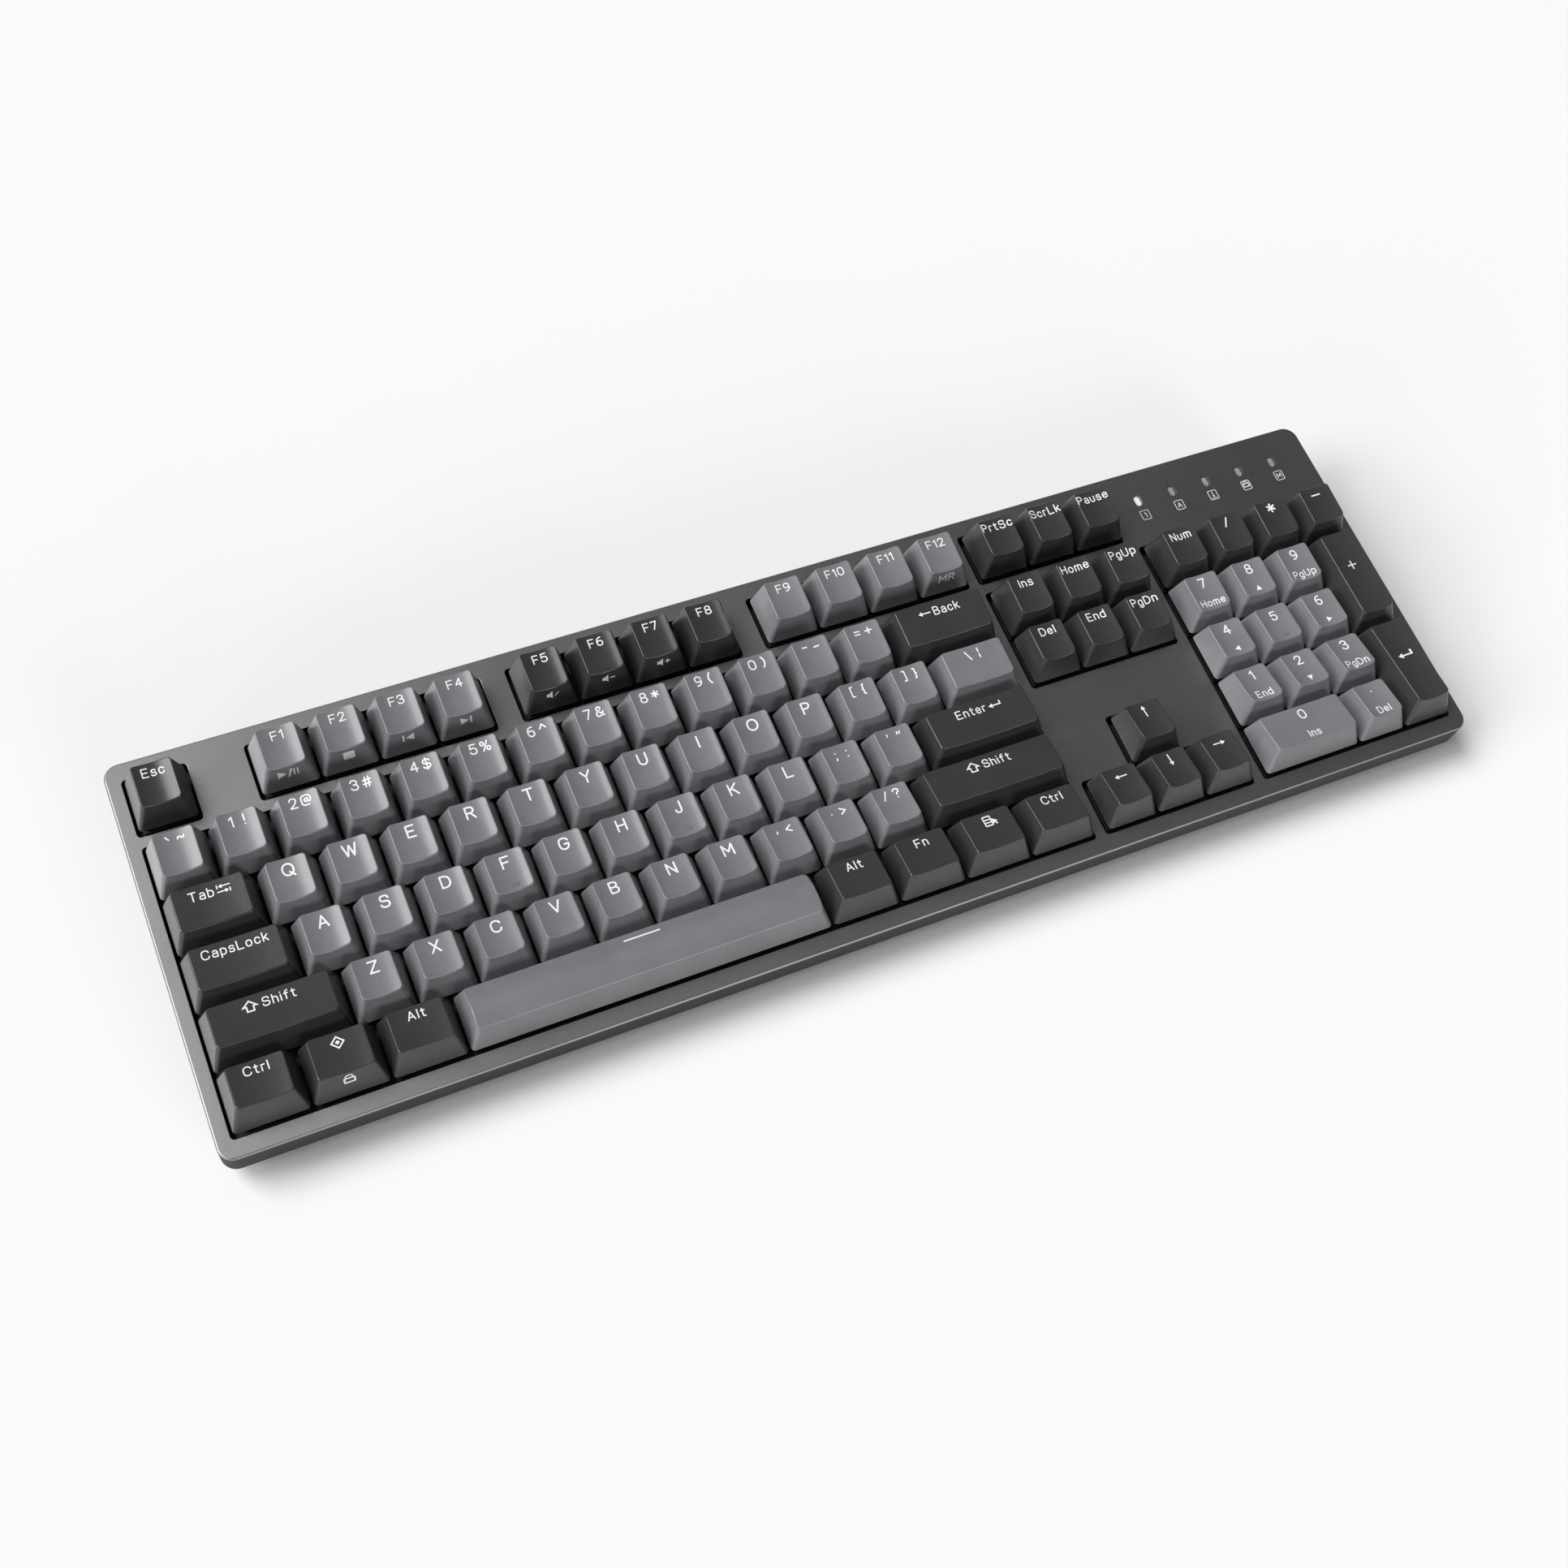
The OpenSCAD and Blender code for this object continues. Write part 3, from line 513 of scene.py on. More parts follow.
def opening(u, v, w, h):
    """A tool for one opening of the cover."""
    return rounded_block("opening", cell_x(u + w / 2), cell_y(v + h / 2), w * PITCH + 2 * CELL_MARGIN,
                         h * PITCH + 2 * CELL_MARGIN, *TOOL_Z, OPENING_CORNER, 5)


def pill(name, x, y, w, d, z0, z1):
    """A block with a half-round front and back."""
    return rounded_block(name, x, y, w, d, z0, z1, w * 0.499, 6)


def led_x(i):
    return LED_X + (i - 2) * LED_STEP


def make_cover():
    """The deck and side band in one shell, with its openings, indicator slots and posts."""
    cover = rounded_block("top_cover_skin", 0, CASE_Y, CASE_W, CASE_D, -BAND_H, 0, CASE_CORNER, 10)
    edit(cover)
    choose("EDGE", lambda e: all(abs(v.co.z) < NEAR for v in e.verts))
    bpy.ops.mesh.bevel(offset=RIM_BEVEL, segments=3, affect="EDGES", profile=0.4)
    choose("EDGE", lambda e: all(abs(v.co.z + BAND_H) < NEAR for v in e.verts))
    bpy.ops.mesh.bevel(offset=BAND_BEVEL, segments=1, affect="EDGES")
    done()
    inner = rounded_block("inner", 0, CASE_Y, CASE_W - 2 * BAND_T, CASE_D - 2 * BAND_T,
                          -BAND_H - 2 * MM, -DECK_T, CASE_CORNER - BAND_T, 8)
    cut(cover, inner)
    cut(cover, *[opening(*o) for o in OPENINGS],
        *[pill("slot", led_x(i), LED_Y, *LED_SLOT, *TOOL_Z) for i in range(len(LED_MARKS))])
    # The rims of the openings and slots are eased
    edit(cover)
    choose("EDGE", lambda e: all(abs(v.co.z) < NEAR and abs(v.co.x) < CASE_W / 2 - BAND_T
                                 and abs(v.co.y - CASE_Y) < CASE_D / 2 - BAND_T for v in e.verts)
           and e.calc_face_angle(0) > 1)
    bpy.ops.mesh.bevel(offset=EASED, segments=2, affect="EDGES")
    done()
    # Posts for the case screws hang under the deck, each with a blind hole
    posts = []
    for x, y in COVER_POSTS:
        fresh()
        bpy.ops.mesh.primitive_cylinder_add(vertices=32, radius=POST_RADIUS, depth=POST_H,
                                            location=(x, y, -DECK_T - POST_H / 2))
        post = bpy.context.object
        settle()
        edit(post)
        choose("FACE", faces_down)
        bpy.ops.mesh.inset(thickness=POST_RADIUS - SCREW_RADIUS)
        bpy.ops.mesh.extrude_region_move(TRANSFORM_OT_translate={"value": (0, 0, SCREW_DEPTH)})
        done()
        posts.append(post)
    cover = joined("top_cover_skin", [cover, *posts])
    smooth(cover, 35)
    mount(cover, "case", "cover_metal", COVER, "top_cover")


make_cover()

# ---- Caps ----


def cap_size(k):
    """Half width and half depth of a key's cap at its foot."""
    return k[2] * PITCH / 2 - CAP_GAP, k[3] * PITCH / 2 - CAP_GAP


def cap_top(k):
    """Front and back edge of a cap's top."""
    _, d = cap_size(k)
    return FRONT_INSET[k[4]] - d, d - BACK_INSET[k[4]]


def make_cap(k):
    """One cap, open below: a tapered block, corners rounded, top scooped, edges eased, then hollowed."""
    w, d = cap_size(k)
    row = k[4]
    front, back = cap_top(k)
    front_z, back_z = FRONT_Z[row], BACK_Z[row]
    half = w - CAP_SIDE
    crowned = k[2] == SPACE_WIDTH
    cap = block("cap", -w, w, -d, d, CAP_FOOT, front_z)
    edit(cap)
    # Taper: the top shrinks, moves back, and its back edge rises or drops
    choose("FACE", faces_up)
    bpy.ops.transform.resize(value=(half / w, (back - front) / (2 * d), 1),
                             center_override=(0, 0, front_z))
    bpy.ops.transform.translate(value=(0, (front + back) / 2, 0))
    choose("EDGE", lambda e: all(v.co.z > CAP_FOOT + MM and v.co.y > 0 for v in e.verts))
    bpy.ops.transform.translate(value=(0, 0, back_z - front_z))
    choose("EDGE", upright)
    bpy.ops.mesh.bevel(offset=CAP_CORNER, segments=4, affect="EDGES")
    # Cuts across the top carry its curve
    cuts = CROWN_CUTS if crowned else SCOOP_CUTS
    reach = (back - front) / 2 if crowned else half
    for i in range(1, cuts):
        choose("FACE", faces_up)
        across = reach * CUT_SPAN * (2 * i / cuts - 1)
        if crowned:
            bpy.ops.mesh.bisect(plane_co=(0, (front + back) / 2 + across, 0), plane_no=(0, 1, 0))
        else:
            bpy.ops.mesh.bisect(plane_co=(across, 0, 0), plane_no=(1, 0, 0))
    choose("FACE", faces_up)
    cage = bmesh.from_edit_mesh(cap.data)
    depth = SCOOP if k[2] == 1 else WIDE_SCOOP
    for v in (v for v in cage.verts if v.select):
        share = (v.co.y - front) / (back - front)
        if crowned:
            drop = CROWN * (2 * share - 1) ** 2 - CROWN_RISE * CROWN
        else:
            drop = depth * (1 - (v.co.x / half) ** 2)
        # The back and front walls lean, so a corner that drops moves along its wall
        lean = (share * BACK_INSET[row] / (back_z - CAP_FOOT)
                - (1 - share) * FRONT_INSET[row] / (front_z - CAP_FOOT))
        v.co.y += drop * lean
        v.co.z -= drop
    bmesh.update_edit_mesh(cap.data)
    choose("EDGE", lambda e: all(v.co.z > CAP_FOOT + MM for v in e.verts)
           and e.calc_face_angle(0) > radians(SHARP))
    bpy.ops.mesh.bevel(offset=CAP_EDGE, segments=3, affect="EDGES", profile=0.5)
    choose("FACE", faces_down)
    bpy.ops.mesh.delete(type="FACE")
    done()
    apply(cap, "SOLIDIFY", thickness=CAP_WALL, offset=-1)
    # The wall's inner edge is brought level with the foot
    edit(cap)
    choose("VERT", lambda v: v.co.z < CAP_FOOT)
    bpy.ops.transform.resize(value=(1, 1, 0), center_override=(0, 0, CAP_FOOT))
    done()
    return cap


def make_stem(half_w, half_d):
    """A sliding stem with the cross that its cap sits on, modelled at the deck's zero."""
    stem = block("stem", -half_w, half_w, -half_d, half_d, SLIDER_FOOT, HOUSING_TOP - SHOULDER_H)
    edit(stem)
    choose("FACE", faces_up)
    bpy.ops.mesh.inset(thickness=SHOULDER_IN)
    bpy.ops.transform.translate(value=(0, 0, SHOULDER_H))
    done()
    bars = [block("bar", -a, a, -b, b, HOUSING_TOP - CROSS_SUNK, HOUSING_TOP + CROSS_H)
            for a, b in ((CROSS_LONG, CROSS_SHORT), (CROSS_SHORT, CROSS_LONG))]
    return joined("stem", [stem, *bars])


def make_slider():
    """A switch's stem, hollow below for its spring."""
    slider = make_stem(*SLIDER)
    edit(slider)
    choose("FACE", lambda p: faces_down(p) and p.calc_center_median().z < SLIDER_FOOT + NEAR)
    bpy.ops.mesh.inset(thickness=POCKET_WALL)
    bpy.ops.mesh.extrude_region_move(TRANSFORM_OT_translate={"value": (0, 0, POCKET_H)})
    done()
    return slider


def make_insert():
    """A stabilizer's stem, slotted from its back for the wire's tip."""
    insert = make_stem(*INSERT)
    cut(insert, block("slot", -WIRE_SLOT, WIRE_SLOT, *WIRE_SLOT_Y, *WIRE_SLOT_Z))
    return insert


def inserts(k):
    """The two stabilizer stems under a long cap."""
    if max(k[2], k[3]) < 2:
        return []
    reach = SPACE_INSERT_REACH if k[2] == SPACE_WIDTH else INSERT_REACH
    # Under a key two cells deep they stand one behind the other
    turn = pi / 2 if k[3] == 2 else 0
    made = []
    for side in (-reach, reach):
        twin = copy_to(insert_model, 0, 0)
        twin.matrix_world = (Matrix.Translation((key_x(k), key_y(k), 0)) @ Matrix.Rotation(turn, 4, "Z")
                             @ Matrix.Translation((side, 0, 0)))
        made.append(twin)
    return made


def make_homing_bar():
    """The raised bar that a finger finds, all but its foot eased."""
    bar = block("homing_bar", -BAR_W, BAR_W, -BAR_D, BAR_D, *BAR_Z)
    edit(bar)
    choose("EDGE", lambda e: middle(e).z > BAR_Z[0] + NEAR)
    bpy.ops.mesh.bevel(offset=EASED, segments=3, affect="EDGES")
    done()
    return bar


def top_z(k, y):
    """Height of a single cap's top along its middle, at this place from its centre."""
    front, back = cap_top(k)
    share = (y - front) / (back - front)
    return FRONT_Z[k[4]] + (BACK_Z[k[4]] - FRONT_Z[k[4]]) * share - SCOOP


models = {}


def model_of(k):
    """The cap model for a key's width, depth and profile, made on first need."""
    kind = k[2:]
    if kind not in models:
        models[kind] = make_cap(k)
    return models[kind]


slider_model = make_slider()
insert_model = make_insert()
bar_model = make_homing_bar()

# ---- Legends ----

# One-line letters for the caps. The grid's unit is a tenth of a capital's height, also for the pens' widths and
# the gap. A stroke is a row of corners; "r" rounds them by so much, and "o" closes the stroke as well
CAPITAL, LETTER_PEN, WORD_PEN, GAP = 10, 1.5, 1.4, 3.6
GLYPHS = {
    "A": "0 0 3.7 10 7.4 0|1.2 3.2 6.2 3.2",
    "B": "0 0 0 10|r2.4 0 10 6 10 6 5.2 0 5.2|r2.6 0 5.2 6.6 5.2 6.6 0 0 0",
    "C": "r3.6 7.4 7.4 7.4 10 0 10 0 0 7.4 0 7.4 2.6", "D": "0 0 0 10|r4.4 0 10 7.2 10 7.2 0 0 0",
    "E": "6.2 10 0 10 0 0 6.2 0|0 5.1 5.4 5.1", "F": "6.2 10 0 10 0 0|0 5 5.2 5",
    "G": "r3.6 7.4 7.6 7.4 10 0 10 0 0 7.4 0 7.4 4.6|4.2 4.6 7.4 4.6", "H": "0 0 0 10|7 0 7 10|0 5.1 7 5.1",
    "I": "0 0 0 10", "J": "r2.6 4.8 10 4.8 0 0 0 0 2.8", "K": "0 0 0 10|6.4 10 0 4.2|2.4 6.2 6.8 0",
    "L": "0 10 0 0 5.8 0", "M": "0 0 0 10 4.2 3 8.4 10 8.4 0", "N": "0 0 0 10 7 0 7 10",
    "O": "o4.4 0 0 0 10 8.6 10 8.6 0", "P": "0 0 0 10|r2.8 0 10 6.4 10 6.4 4.6 0 4.6",
    "Q": "o4.4 0 0 0 10 8.6 10 8.6 0|5.2 2.8 8.8 -0.8",
    "R": "0 0 0 10|r2.8 0 10 6.4 10 6.4 4.8 0 4.8|3.4 4.8 6.8 0",
    "S": "r2.5 6.6 7.6 6.6 10 0.2 10 0.2 5.2 6.8 5.2 6.8 0 0 0 0 2.4", "T": "0 10 7.4 10|3.7 0 3.7 10",
    "U": "r3.5 0 10 0 0 7 0 7 10", "V": "0 10 3.7 0 7.4 10", "W": "0 10 2.6 0 5.2 9.6 7.8 0 10.4 10",
    "X": "0 0 6.8 10|0 10 6.8 0", "Y": "0 10 3.6 4.8 7.2 10|3.6 4.8 3.6 0", "Z": "0 10 6.8 10 0 0 6.8 0",
    "a": "r2.4 0.7 6 0.7 7.2 5.2 7.2 5.2 0|r1.9 5.2 3.9 0 3.9 0 0 5.2 0",
    "b": "0 0 0 10|r2.6 0 7 5.4 7 5.4 0 0 0", "c": "r2.6 5 5.2 5 7 0 7 0 0 5 0 5 1.8",
    "d": "5.4 0 5.4 10|r2.6 5.4 7 0 7 0 0 5.4 0",
    "e": "0.2 3.6 5.2 3.6|r2.6 5.2 3.6 5.2 7 0 7 0 0 5 0 5 1.5",
    "f": "r1.8 4 10 1.6 10 1.6 0|0 6.8 3.8 6.8",
    "g": "r2.4 5.2 7 5.2 -3 0.2 -3 0.2 -1.6|r2.6 5.2 7 0 7 0 0 5.2 0", "h": "0 0 0 10|r2.4 0 7 5 7 5 0",
    "i": "0 0 0 7|0 9.7 0 9.9", "k": "0 0 0 10|4.8 7 0 2.8|1.8 4.2 5 0", "l": "0 0 0 10",
    "m": "0 0 0 7|r1.9 0 7 4 7 4 0|r1.9 4 7 8 7 8 0", "n": "0 0 0 7|r2.4 0 7 5 7 5 0",
    "o": "o2.8 0 0 0 7 5.6 7 5.6 0", "p": "0 7 0 -3|r2.6 0 7 5.4 7 5.4 0 0 0",
    "r": "0 0 0 7|r1.6 0 5.2 0 7 3.2 7", "s": "r1.7 4.6 5.7 4.6 7 0.2 7 0.2 3.7 4.8 3.7 4.8 0 0 0 0 1.4",
    "t": "r1.6 1.6 9.2 1.6 0 3.9 0|0 7 3.8 7", "u": "r2.4 0 7 0 0 5 0 5 7",
    "0": "o3.4 0 0 0 10 6.8 10 6.8 0", "1": "0 7.8 2.6 10 2.6 0",
    "2": "r2.8 0.2 7.4 0.2 10 6.2 10 6.2 5.6 0 0|0 0 6.6 0",
    "3": "r2.4 0.2 8 0.2 10 6 10 6 5.3 2.6 5.3|r2.6 3 5.3 6.4 5.3 6.4 0 0 0 0 2", "4": "5 0 5 10 0 3 7 3",
    "5": "6 10 0.9 10 0.5 5.6|r2.7 0.5 5.2 0.5 6.2 6.4 6.2 6.4 0 0 0 0 2",
    "6": "o3 0.2 0 0.2 6 6.4 6 6.4 0|r4.6 5.4 10 0.2 10 0.2 3", "7": "0 10 6.4 10 2 0",
    "8": "o2.4 0.5 5.2 0.5 10 6.1 10 6.1 5.2|o2.6 0 0 0 5.2 6.6 5.2 6.6 0",
    "9": "o3 0 4 0 10 6.2 10 6.2 4|r4.6 1 0 6.2 0 6.2 7", "`": "0 9.4 2.4 6.2",
    "~": "r1.5 0 5 0 7 3 7 3 5.2 6 5.2 6 7.2", "!": "0 10 0 3.6|0 0.2 0 0",
    "@": "o1.5 2.8 3.4 2.8 6.8 5.8 6.8 5.8 3.4|r3 5.8 6.8 5.8 3 8.8 3 8.8 10 0 10 0 0 6.8 0",
    "#": "2 0 3 10|5.2 0 6.2 10|0.4 7 7.8 7|0 3.2 7.4 3.2",
    "$": "r2.5 6.6 7.6 6.6 9.6 0.2 9.6 0.2 5.2 6.8 5.2 6.8 0.4 0 0.4 0 2.4|3.4 -1 3.4 11",
    "%": "o1.6 0 6 0 10 3.2 10 3.2 6|o1.6 5.4 0 5.4 4 8.6 4 8.6 0|7 10 1.6 0", "^": "0 5.6 3 10 6 5.6",
    "&": "r1.9 7.2 0 1.2 6.8 1.2 10 5 10 5 6.6 0 4.2 0 0 5 0 7 4.4", "*": "3 2.2 3 9.2|0 4 6 7.4|0 7.4 6 4",
    "(": "r2.5 2.2 10.8 0 8 0 2.2 2.2 -0.8", ")": "r2.5 0 10.8 2.2 8 2.2 2.2 0 -0.8", "-": "0 6.6 4.6 6.6",
    "_": "0 4.6 5 4.6", "=": "0 6.6 5.6 6.6|0 3.2 5.6 3.2", "+": "0 5 6.4 5|3.2 1.8 3.2 8.2",
    "[": "2.6 10.6 0 10.6 0 -0.6 2.6 -0.6", "]": "0 10.6 2.6 10.6 2.6 -0.6 0 -0.6",
    "{": "r1.2 2.6 10.6 1.2 10.6 1.2 5 0 5|r1.2 0 5 1.2 5 1.2 -0.6 2.6 -0.6",
    "}": "r1.2 0 10.6 1.4 10.6 1.4 5 2.6 5|r1.2 2.6 5 1.4 5 1.4 -0.6 0 -0.6", "\\": "0 10 4.4 0",
    "|": "0 10.6 0 6.6|0 3.8 0 -0.2", ";": "0.5 6.6 0.5 6.4|0.5 0.6 0 -1.6", ":": "0 6.6 0 6.4|0 0.2 0 0",
    "'": "0.4 9 0 6.8", '"': "0.4 9 0 6.8|3 9 2.6 6.8", ",": "0.5 5 0 2.8", "<": "5 8.4 0 5 5 1.6",
    ".": "0 4.4 0 4.2", ">": "0 8.4 5 5 0 1.6", "/": "0 0 4.6 10",
    "?": "r2.4 0 8 0 10 5.6 10 5.6 5.6 2.8 5.6 2.8 3.6|2.8 0.2 2.8 0",
}


def outline(name, *loops):
    """A flat filled shape from its outer loop and its holes, in millimetres."""
    fresh()
    shape = bpy.data.curves.new(name, "CURVE")
    shape.dimensions, shape.fill_mode = "2D", "BOTH"
    for loop in loops:
        spline = shape.splines.new("POLY")
        spline.points.add(len(loop) - 1)
        for point, (x, y) in zip(spline.points, loop):
            point.co = (x * MM, y * MM, 0, 1)
        spline.use_cyclic_u = True
    piece = bpy.data.objects.new(name, shape)
    bpy.context.scene.collection.objects.link(piece)
    return piece


def rounded(corners, reach, closed):
    """A row of corners with each turn eased into a curve that starts this far from it."""
    path, last = [], len(corners) - 1
    pull, touching = 0.55, 0.02
    for i, corner in enumerate(corners):
        if not closed and i in (0, last):
            path.append(corner)
            continue
        sides = []
        for other, end in ((i - 1, 0), ((i + 1) % len(corners), last)):
            way = corners[other] - corner
            room = way.length if not closed and other == end else way.length / 2
            sides.append(corner + way.normalized() * min(reach, room))
        a, b = sides
        for t in (0, 0.2, 0.4, 0.6, 0.8, 1):
            u = 1 - t
            handle_a, handle_b = a.lerp(corner, pull), b.lerp(corner, pull)
            path.append(a * u ** 3 + handle_a * 3 * u * u * t + handle_b * 3 * u * t * t + b * t ** 3)
    tidy = [p for i, p in enumerate(path) if i == 0 or (p - path[i - 1]).length > touching]
    return tidy[:-1] if closed and (tidy[0] - tidy[-1]).length < touching else tidy


def ribbon(path, closed, pen):
    """The outline of a pen's track: round at its ends, or two rings if it closes."""
    half, count = pen / 2, len(path)
    left, right = [], []
    for i, p in enumerate(path):
        before = path[i - 1] if i or closed else p
        after = path[(i + 1) % count] if i < count - 1 or closed else p
        along = (after - before).normalized()
        side = Vector((-along.y, along.x)) * half
        left.append(p + side)
        right.append(p - side)
    if closed:
        return [left, right]
    caps = []
    for centre, start in ((path[-1], left[-1] - path[-1]), (path[0], right[0] - path[0])):
        caps.append([centre + Matrix.Rotation(-pi * i / 6, 2) @ start for i in range(1, 6)])
    return [left + caps[0] + right[::-1] + caps[1]]


def make_glyph(sign, pen):
    """One letter drawn with this pen as a flat mesh, and how wide it stands."""
    strokes = []
    for stroke in GLYPHS[sign].split("|"):
        kind, *rest = stroke.split(" ")
        reach, closed = float(kind[1:]) if kind[0] in "ro" else 0, kind[0] == "o"
        numbers = [float(n) for n in (rest if reach else [kind, *rest])]
        corners = [Vector(pair) for pair in zip(numbers[::2], numbers[1::2])]
        if reach:
            strokes.append(outline(sign, *ribbon(rounded(corners, reach, closed), closed, pen)))
        else:
            strokes += [outline(sign, *ribbon([a, b], False, pen)) for a, b in zip(corners, corners[1:])]
    glyph = flat_mesh("glyph", strokes)
    return glyph, max(v.co.x for v in glyph.data.vertices) / MM - pen / 2


glyphs = {}


def spell(words, height):
    """The letters' scale for capitals of this height, the letters with their widths, and the whole width."""
    pen = LETTER_PEN if len(words) == 1 else WORD_PEN
    for sign in words:
        if (sign, pen) not in glyphs:
            glyphs[sign, pen] = make_glyph(sign, pen)
    letters = [glyphs[sign, pen] for sign in words]
    size = height / (CAPITAL + pen) / MM
    wide = sum(step for _, step in letters) + GAP * (len(words) - 1)
    return size, letters, wide * size * MM


def text(words, height):
    """Words with capitals of this height, their middle on the sheet's own zero."""
    size, letters, wide = spell(words, height)
    at, drop, made = -wide / 2, CAPITAL / 2 * size * MM, []
    for model, step in letters:
        twin = copy_to(model, 0, 0)
        made.append((twin, Matrix.Translation((at, -drop, 0)) @ Matrix.Scale(size, 4)))
        at += (step + GAP) * size * MM
    return made


def flat_mesh(name, parts):
    """Words and signs made one mesh, with their places in it."""
    only(*parts)
    bpy.ops.object.convert(target="MESH")
    piece = joined(name, parts)
    only(piece)
    settle()
    return piece


def ring(radius, sides):
    return [(radius * cos(2 * pi * i / sides), radius * sin(2 * pi * i / sides)) for i in range(sides)]


def frame_loop(w, d, corner):
    """A rounded rectangle, corner by corner."""
    turns = [(1, 1, 0), (-1, 1, 90), (-1, -1, 180), (1, -1, 270)]
    return [(sx * (w / 2 - corner) + corner * cos(radians(a + t)),
             sy * (d / 2 - corner) + corner * sin(radians(a + t)))
            for sx, sy, a in turns for t in (0, 30, 60, 90)]


def turned(loop, quarter):
    """A loop turned by quarter turns."""
    for _ in range(quarter):
        loop = [(-y, x) for x, y in loop]
    return loop


def moved(loop, x, y, size=1.0):
    """A loop shrunk about its own zero, then moved."""
    return [(x + size * a, y + size * b) for a, b in loop]


def bar_loop(x0, x1, y0, y1):
    return [(x0, y0), (x1, y0), (x1, y1), (x0, y1)]


def plus_loop(reach, half):
    """A plus sign, corner by corner: how far its arms reach, and half their width."""
    arm = [(-reach, -half), (-half, -half), (-half, -reach)]
    return [corner for quarter in range(4) for corner in turned(arm, quarter)]


# Loops of the signs, corner by corner, in millimetres
ARROW = [(0.22, -2.2), (0.22, 0.9), (0.85, 0.9), (0, 2.3), (-0.85, 0.9), (-0.22, 0.9), (-0.22, -2.2)]
TRIANGLE = [(-1.05, -0.95), (1.05, -0.95), (0, 1)]
ENTER = [(-2.3, -0.3), (-0.8, 0.55), (-0.8, -0.08), (1.75, -0.08), (1.75, 1), (2.25, 1), (2.25, -0.52),
         (-0.8, -0.52), (-0.8, -1.15)]
SPEAKER = [(-1.2, -0.45), (-0.6, -0.45), (0.2, -1.1), (0.2, 1.1), (-0.6, 0.45), (-1.2, 0.45)]
SHIFT = [(-1.25, -1.9), (1.25, -1.9), (1.25, -0.3), (2.6, -0.3), (0, 2), (-2.6, -0.3), (-1.25, -0.3)]
SHIFT_HOLE = [(-0.8, -1.45), (0.8, -1.45), (0.8, 0.15), (1.4, 0.15), (0, 1.4), (-1.4, 0.15), (-0.8, 0.15)]
POINTER = [(0.3, 0.6), (2.1, -0.7), (1.35, -0.85), (1.8, -1.7), (1.4, -1.9), (0.95, -1.05), (0.4, -1.5)]


WAYS = "up", "left", "down", "right"
# The named signs: shapes, each an outer loop and its holes
SIGNS = {
    **{way: [[turned(ARROW, i)]] for i, way in enumerate(WAYS)},
    **{"tri_" + way: [[turned(TRIANGLE, i)]] for i, way in enumerate(WAYS)},
    "back": [[turned(ARROW, 1)]],
    "enter": [[ENTER]],
    "tab": [[moved(turned(ARROW, 1), 0.35, 0.85, 0.8)], [bar_loop(-2, -1.65, 0.2, 1.5)],
            [moved(turned(ARROW, 3), -0.35, -0.85, 0.8)], [bar_loop(1.65, 2, -1.5, -0.2)]],
    "shift": [[SHIFT, SHIFT_HOLE]],
    "diamond": [[ring(2.2, 4), ring(1.55, 4)], [ring(0.75, 4)]],
    "dash": [[frame_loop(12, 0.6, 0.28)]],
    "plus": [[plus_loop(1.8, 0.22)]],
    "minus": [[bar_loop(-1.8, 1.8, -0.25, 0.25)]],
    "menu": [[frame_loop(2.9, 3.9, 0.3), bar_loop(-1.05, 1.05, 0.7, 1.5), bar_loop(-1.05, 1.05, -0.4, 0.3),
              bar_loop(-1.05, 1.05, -1.5, -0.8)], [moved(POINTER, 1.2, 0)]],
    "play": [[moved(turned(TRIANGLE, 3), -1.5, 0)], [[(-0.3, -1.2), (0.1, -1.2), (0.9, 1.2), (0.5, 1.2)]],
             [bar_loop(1.1, 1.4, -1, 1)], [bar_loop(1.9, 2.2, -1, 1)]],
    "stop": [[frame_loop(2.6, 2.3, 0.2)]],
    "previous": [[moved(turned(TRIANGLE, 1), 0.4, 0)], [bar_loop(-1.3, -0.9, -1, 1)]],
    "next": [[moved(turned(TRIANGLE, 3), -0.4, 0)], [bar_loop(0.9, 1.3, -1, 1)]],
    "mute": [[SPEAKER], [[(0.6, -0.6), (0.85, -0.6), (1.8, 0.6), (1.55, 0.6)]]],
    "quieter": [[SPEAKER], [bar_loop(0.7, 1.9, -0.15, 0.15)]],
    "louder": [[SPEAKER], [moved(plus_loop(1.8, 0.4), 1.35, 0, 0.36)]],
    "padlock": [[frame_loop(2.6, 1.7, 0.3), frame_loop(1.8, 0.9, 0.1)],
                [[(-0.9, 0.9), (-0.9, 1.3), (-0.5, 1.7), (0.5, 1.7), (0.9, 1.3), (0.9, 0.9), (0.6, 0.9),
                  (0.6, 1.2), (0.35, 1.4), (-0.35, 1.4), (-0.6, 1.2), (-0.6, 0.9)]]],
    "down_bar": [[moved(turned(ARROW, 2), 0, 0.3, 0.55)], [bar_loop(-1, 1, -1.35, -1.1)]],
    "badge": [[frame_loop(3.6, 4, 0.6), frame_loop(3.1, 3.5, 0.4)]],
}


def marks(words, height, x, y, place):
    """The flat shapes of a sign or some words, their middle at this place of a plane."""
    plane = place @ Matrix.Translation((x, y, 0))
    if words in SIGNS:
        made = [(outline(words, *loops), Matrix.Identity(4)) for loops in SIGNS[words]]
    else:
        made = text(words, height)
    for piece, spot in made:
        piece.matrix_world = plane @ spot
    return [piece for piece, _ in made]


# Heights of capitals: one letter, a pair of signs, a keypad digit, a word, and the lower word of a keypad cap
LETTER, PAIR, DIGIT, WORD, SMALL = 4.4 * MM, 3.7 * MM, 3.9 * MM, 3.2 * MM, 2.85 * MM
PAD_SIGN_H = {"*": 5 * MM, "/": 3.8 * MM, "minus": 0}
